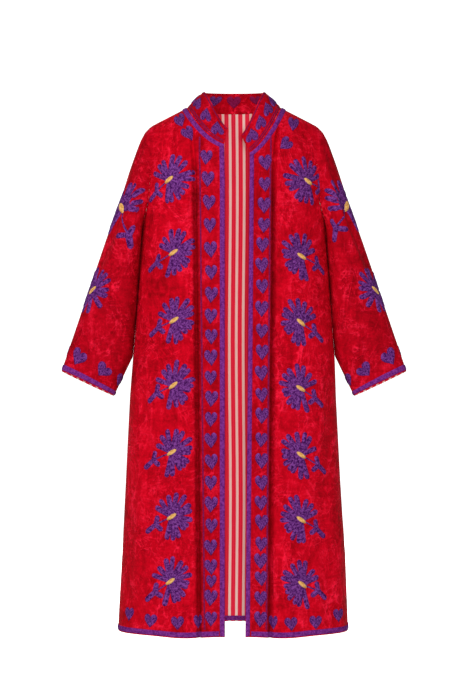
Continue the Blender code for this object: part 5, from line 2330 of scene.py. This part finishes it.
class SleeveLevel:
    """The front of a sleeve, with heights on it measured straight up instead of along the cloth."""

    def __init__(self, form: SleeveForm) -> None:
        """Keep a table of the sleeve's points and normals."""
        self.points, self.normals = form.grid(np.linspace(0.0, 2.0, 241)[:-1], np.linspace(0.0, 1.0, 121))

    def place(self, column: float, height: float) -> tuple[np.ndarray, np.ndarray]:
        """The point and normal at a column of the table and a height.

        Args:
            column: The column, whole or not.
            height: The height.

        Returns:
            The point and the unit normal.
        """
        point, normal = np.zeros(3), np.zeros(3)
        low = int(math.floor(column))
        for index, weight in ((low, 1.0 - column + low), (low + 1, column - low)):
            heights = self.points[index, ::-1, 2]
            row = np.interp(height, heights, np.arange(len(heights) - 1.0, -1.0, -1.0))
            base = min(int(row), len(heights) - 2)
            part = row - base
            for total, table in ((point, self.points), (normal, self.normals)):
                total += weight * (table[index, base] * (1.0 - part) + table[index, base + 1] * part)
        return point, normal / np.linalg.norm(normal)

    def patch(self, centre: tuple[float, float], local: np.ndarray, lift: np.ndarray) -> np.ndarray:
        """Lay flat points round a centre given by its distance from the centre plane and height.

        Args:
            centre: The two numbers that give the centre's place.
            local: Flat points round the centre; the second coordinate runs up.
            lift: The height of each point above the cloth.

        Returns:
            Points on the cloth.
        """
        columns = np.arange(0.0, 180.0)
        ring = np.array([self.place(column, centre[1])[0] for column in columns])
        arcs = np.concatenate([[0.0], np.cumsum(np.linalg.norm(np.diff(ring, axis=0), axis=1))])
        crest = int(np.argmax(np.abs(ring[:, 0])))
        start = np.interp(centre[0], np.abs(ring[:crest + 1, 0]), arcs[:crest + 1])
        flat = np.asarray(local).reshape(-1, 2)
        lifts = np.broadcast_to(lift, local.shape[:-1]).reshape(-1)
        found = []
        for (x, y), up in zip(flat, lifts):
            point, normal = self.place(float(np.interp(start + x, arcs, columns)), centre[1] + y)
            found.append(point + up * normal)
        return np.array(found).reshape(*local.shape[:-1], 3)


class CollarInside:
    """The inner face of the stand collar, for motifs that show inside the back of the neck."""

    def __init__(self, form: CollarForm) -> None:
        """Keep the collar's form."""
        self.form = form

    def patch(self, centre: tuple[float, float], local: np.ndarray, lift: np.ndarray) -> np.ndarray:
        """Lay flat points on the inner face round a centre."""
        return self.form.patch(centre, local, -COLLAR_WALL - np.asarray(lift))


class Collar:
    """The stand collar with its chain lines and hearts."""

    def __init__(self, fronts: dict[Side, Front], back: Back, looks: Looks) -> None:
        """Work out the collar's surface from the panels below it.

        Args:
            fronts: The fronts by side.
            back: The back.
            looks: The materials.
        """
        panels = {(side.value, False): front.panel for side, front in fronts.items()}
        panels.update({(side.value, True): panel for side, panel in back.fine.items()})
        self.form = CollarForm(panels)
        self.looks = looks

    def build(self) -> None:
        """Build and dress the collar's pieces."""
        form = self.form
        inner = form.points - COLLAR_WALL * form.normals
        velvet = cloth("velvet_collar", form.points, inner, self.looks.velvet)
        finished(velvet, ("collar",))
        hearts, lines = Strands(), Strands()
        total = form.arc[-1]
        for side in Side:
            for away, row, turn in COLLAR_HEARTS[side.value]:
                place = away if side is Side.LEFT else total - away
                Heart(0.0410, 0.0300).stitch(hearts, form, Pose2D((place, row), turn, 0.95))
        inside = CollarInside(form)
        for away, threads in zip(INSIDE_HEARTS, (hearts, lines, lines)):
            Heart(0.0330, 0.0290).stitch(threads, inside, Pose2D((total / 2.0 + away, 0.55)))
        for low, high in COLLAR_LINES:
            self.line(lines, low, high)
        pieces = [
            finished(hearts.build("hearts_collar", self.looks.thread)),
            finished(lines.build("collar_lines", self.looks.line)),
        ]

    def line(self, strands: Strands, low: float, high: float) -> None:
        """Add a chain line along the whole collar to the threads.

        Args:
            strands: The threads it joins.
            low: The share of the collar's height at its lower edge.
            high: The share at its upper edge.
        """
        form = self.form
        place = np.linspace(0.003, form.arc[-1] - 0.003, 150)
        column = np.interp(place, form.arc, np.arange(len(form.arc)))
        row = np.linspace(low, high, 3) * (len(form.rows) - 1)
        points, normals = sampled((form.points, form.normals), *np.broadcast_arrays(column[:, None], row))
        normals = unit(normals)
        dome = np.array([0.2, 1.0, 0.2])[None, :, None]
        across = np.linspace(-0.0012, 0.0012, 3)
        uvs = np.stack(np.broadcast_arrays(place[:, None], across), axis=-1)
        strands.strip(points + normals * LINE_LIFT * dome, points - normals * THREAD_ROOT, uvs)


# Each light: name, place, turn, size and power
LIGHTS = (
    ("key", (-1.7, -2.2, 1.30), (49.0, 0.0, -38.0), 0.6, 36.0),
    ("fill", (2.1, -2.6, -0.3), (86.0, 0.0, 40.0), 2.2, 7.0),
    ("front", (0.05, -4.7, -0.45), (90.0, 0.0, 0.0), 0.45, 110.0),
    ("rear", (-0.9, 4.9, 0.3), (-84.0, 0.0, 10.0), 1.2, 130.0),
)


@dataclass(frozen=True)
class Studio:
    """Camera, lights and the pale sweep behind the coat."""

    camera_place: tuple[float, float, float] = (-0.00225, -4.5, -0.5355)
    lens: float = 102.86
    floor: float = -1.42
    wall: float = 7.0
    top: float = 6.0
    front: float = -7.0
    reach: float = 9.0
    world_light: float = 0.30
    world_seen: float = 0.70

    def build(self) -> None:
        """Set up the studio."""
        self.camera()
        self.sweep()
        for lamp in LIGHTS:
            self.light(*lamp)
        world = bpy.data.worlds.new("studio")
        bpy.context.scene.world = world
        world.use_nodes = True
        back = world.node_tree.nodes["Background"]
        back.inputs["Color"].default_value = (1.0, 1.0, 1.0, 1.0)
        tree = Tree(world.node_tree)
        seen = tree.add("ShaderNodeLightPath").outputs["Is Camera Ray"]
        strength = tree.math("MULTIPLY_ADD", seen, self.world_seen, self.world_light)
        tree.link(strength, back.inputs["Strength"])
        bpy.context.scene.view_settings.view_transform = "Standard"

    def camera(self) -> None:
        """Place the camera as in the photo."""
        data = bpy.data.cameras.new("camera")
        data.lens = self.lens
        data.sensor_width = 36.0
        camera = bpy.data.objects.new("camera", data)
        camera.location = self.camera_place
        camera.rotation_euler = (math.radians(90.0), 0.0, 0.0)
        bpy.context.scene.collection.objects.link(camera)
        bpy.context.scene.camera = camera

    def sweep(self) -> None:
        """A pale floor that curves up into a wall."""
        profile = [(self.front, self.floor), (self.wall - 1.0, self.floor)]
        for step in range(1, 13):
            turn = math.pi / 2.0 * step / 12
            profile.append((self.wall - 1.0 + math.sin(turn), self.floor + 1.0 - math.cos(turn)))
        profile.append((self.wall, self.top))
        points, faces = [], []
        for y, z in profile:
            points += [(-self.reach, y, z), (self.reach, y, z)]
        for index in range(len(profile) - 1):
            base = 2 * index
            faces.append((base, base + 1, base + 3, base + 2))
        mesh = bpy.data.meshes.new("sweep")
        mesh.from_pydata(points, [], faces)
        mesh.shade_smooth()
        material = bpy.data.materials.new("sweep_paper")
        material.use_nodes = True
        shader = material.node_tree.nodes["Principled BSDF"]
        values = {"Base Color": (0.94, 0.94, 0.94, 1.0), "Roughness": 0.9,
                  "Emission Color": (1.0, 1.0, 1.0, 1.0), "Emission Strength": 1.0}
        for name, value in values.items():
            shader.inputs[name].default_value = value
        mesh.materials.append(material)
        floor = bpy.data.objects.new("sweep", mesh)
        floor.visible_diffuse = False
        bpy.context.scene.collection.objects.link(floor)

    @staticmethod
    def light(name: str, place: tuple, turn: tuple, size: float, power: float) -> None:
        """Add a soft square light.

        Args:
            name: Its name.
            place: Where it stands.
            turn: Its rotation in degrees.
            size: The length of its side.
            power: Its power in watts.
        """
        data = bpy.data.lights.new(name, "AREA")
        data.size = size
        data.energy = power
        lamp = bpy.data.objects.new(name, data)
        lamp.location = place
        lamp.rotation_euler = tuple(math.radians(angle) for angle in turn)
        bpy.context.scene.collection.objects.link(lamp)


def main() -> None:
    """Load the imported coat, dress it and set up the studio."""
    logging.basicConfig(level=logging.INFO, format="%(message)s")
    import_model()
    bpy.ops.object.select_all(action="DESELECT")
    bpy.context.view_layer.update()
    looks = Looks()
    fronts = {side: Front(side, looks) for side in Side}
    back = Back(looks)
    collar = Collar(fronts, back, looks)
    for front in fronts.values():
        front.build()
    back.build()
    for side in Side:
        Sleeve(side, looks).build()
    collar.build()
    Studio().build()


if __name__ == "__main__":
    main()
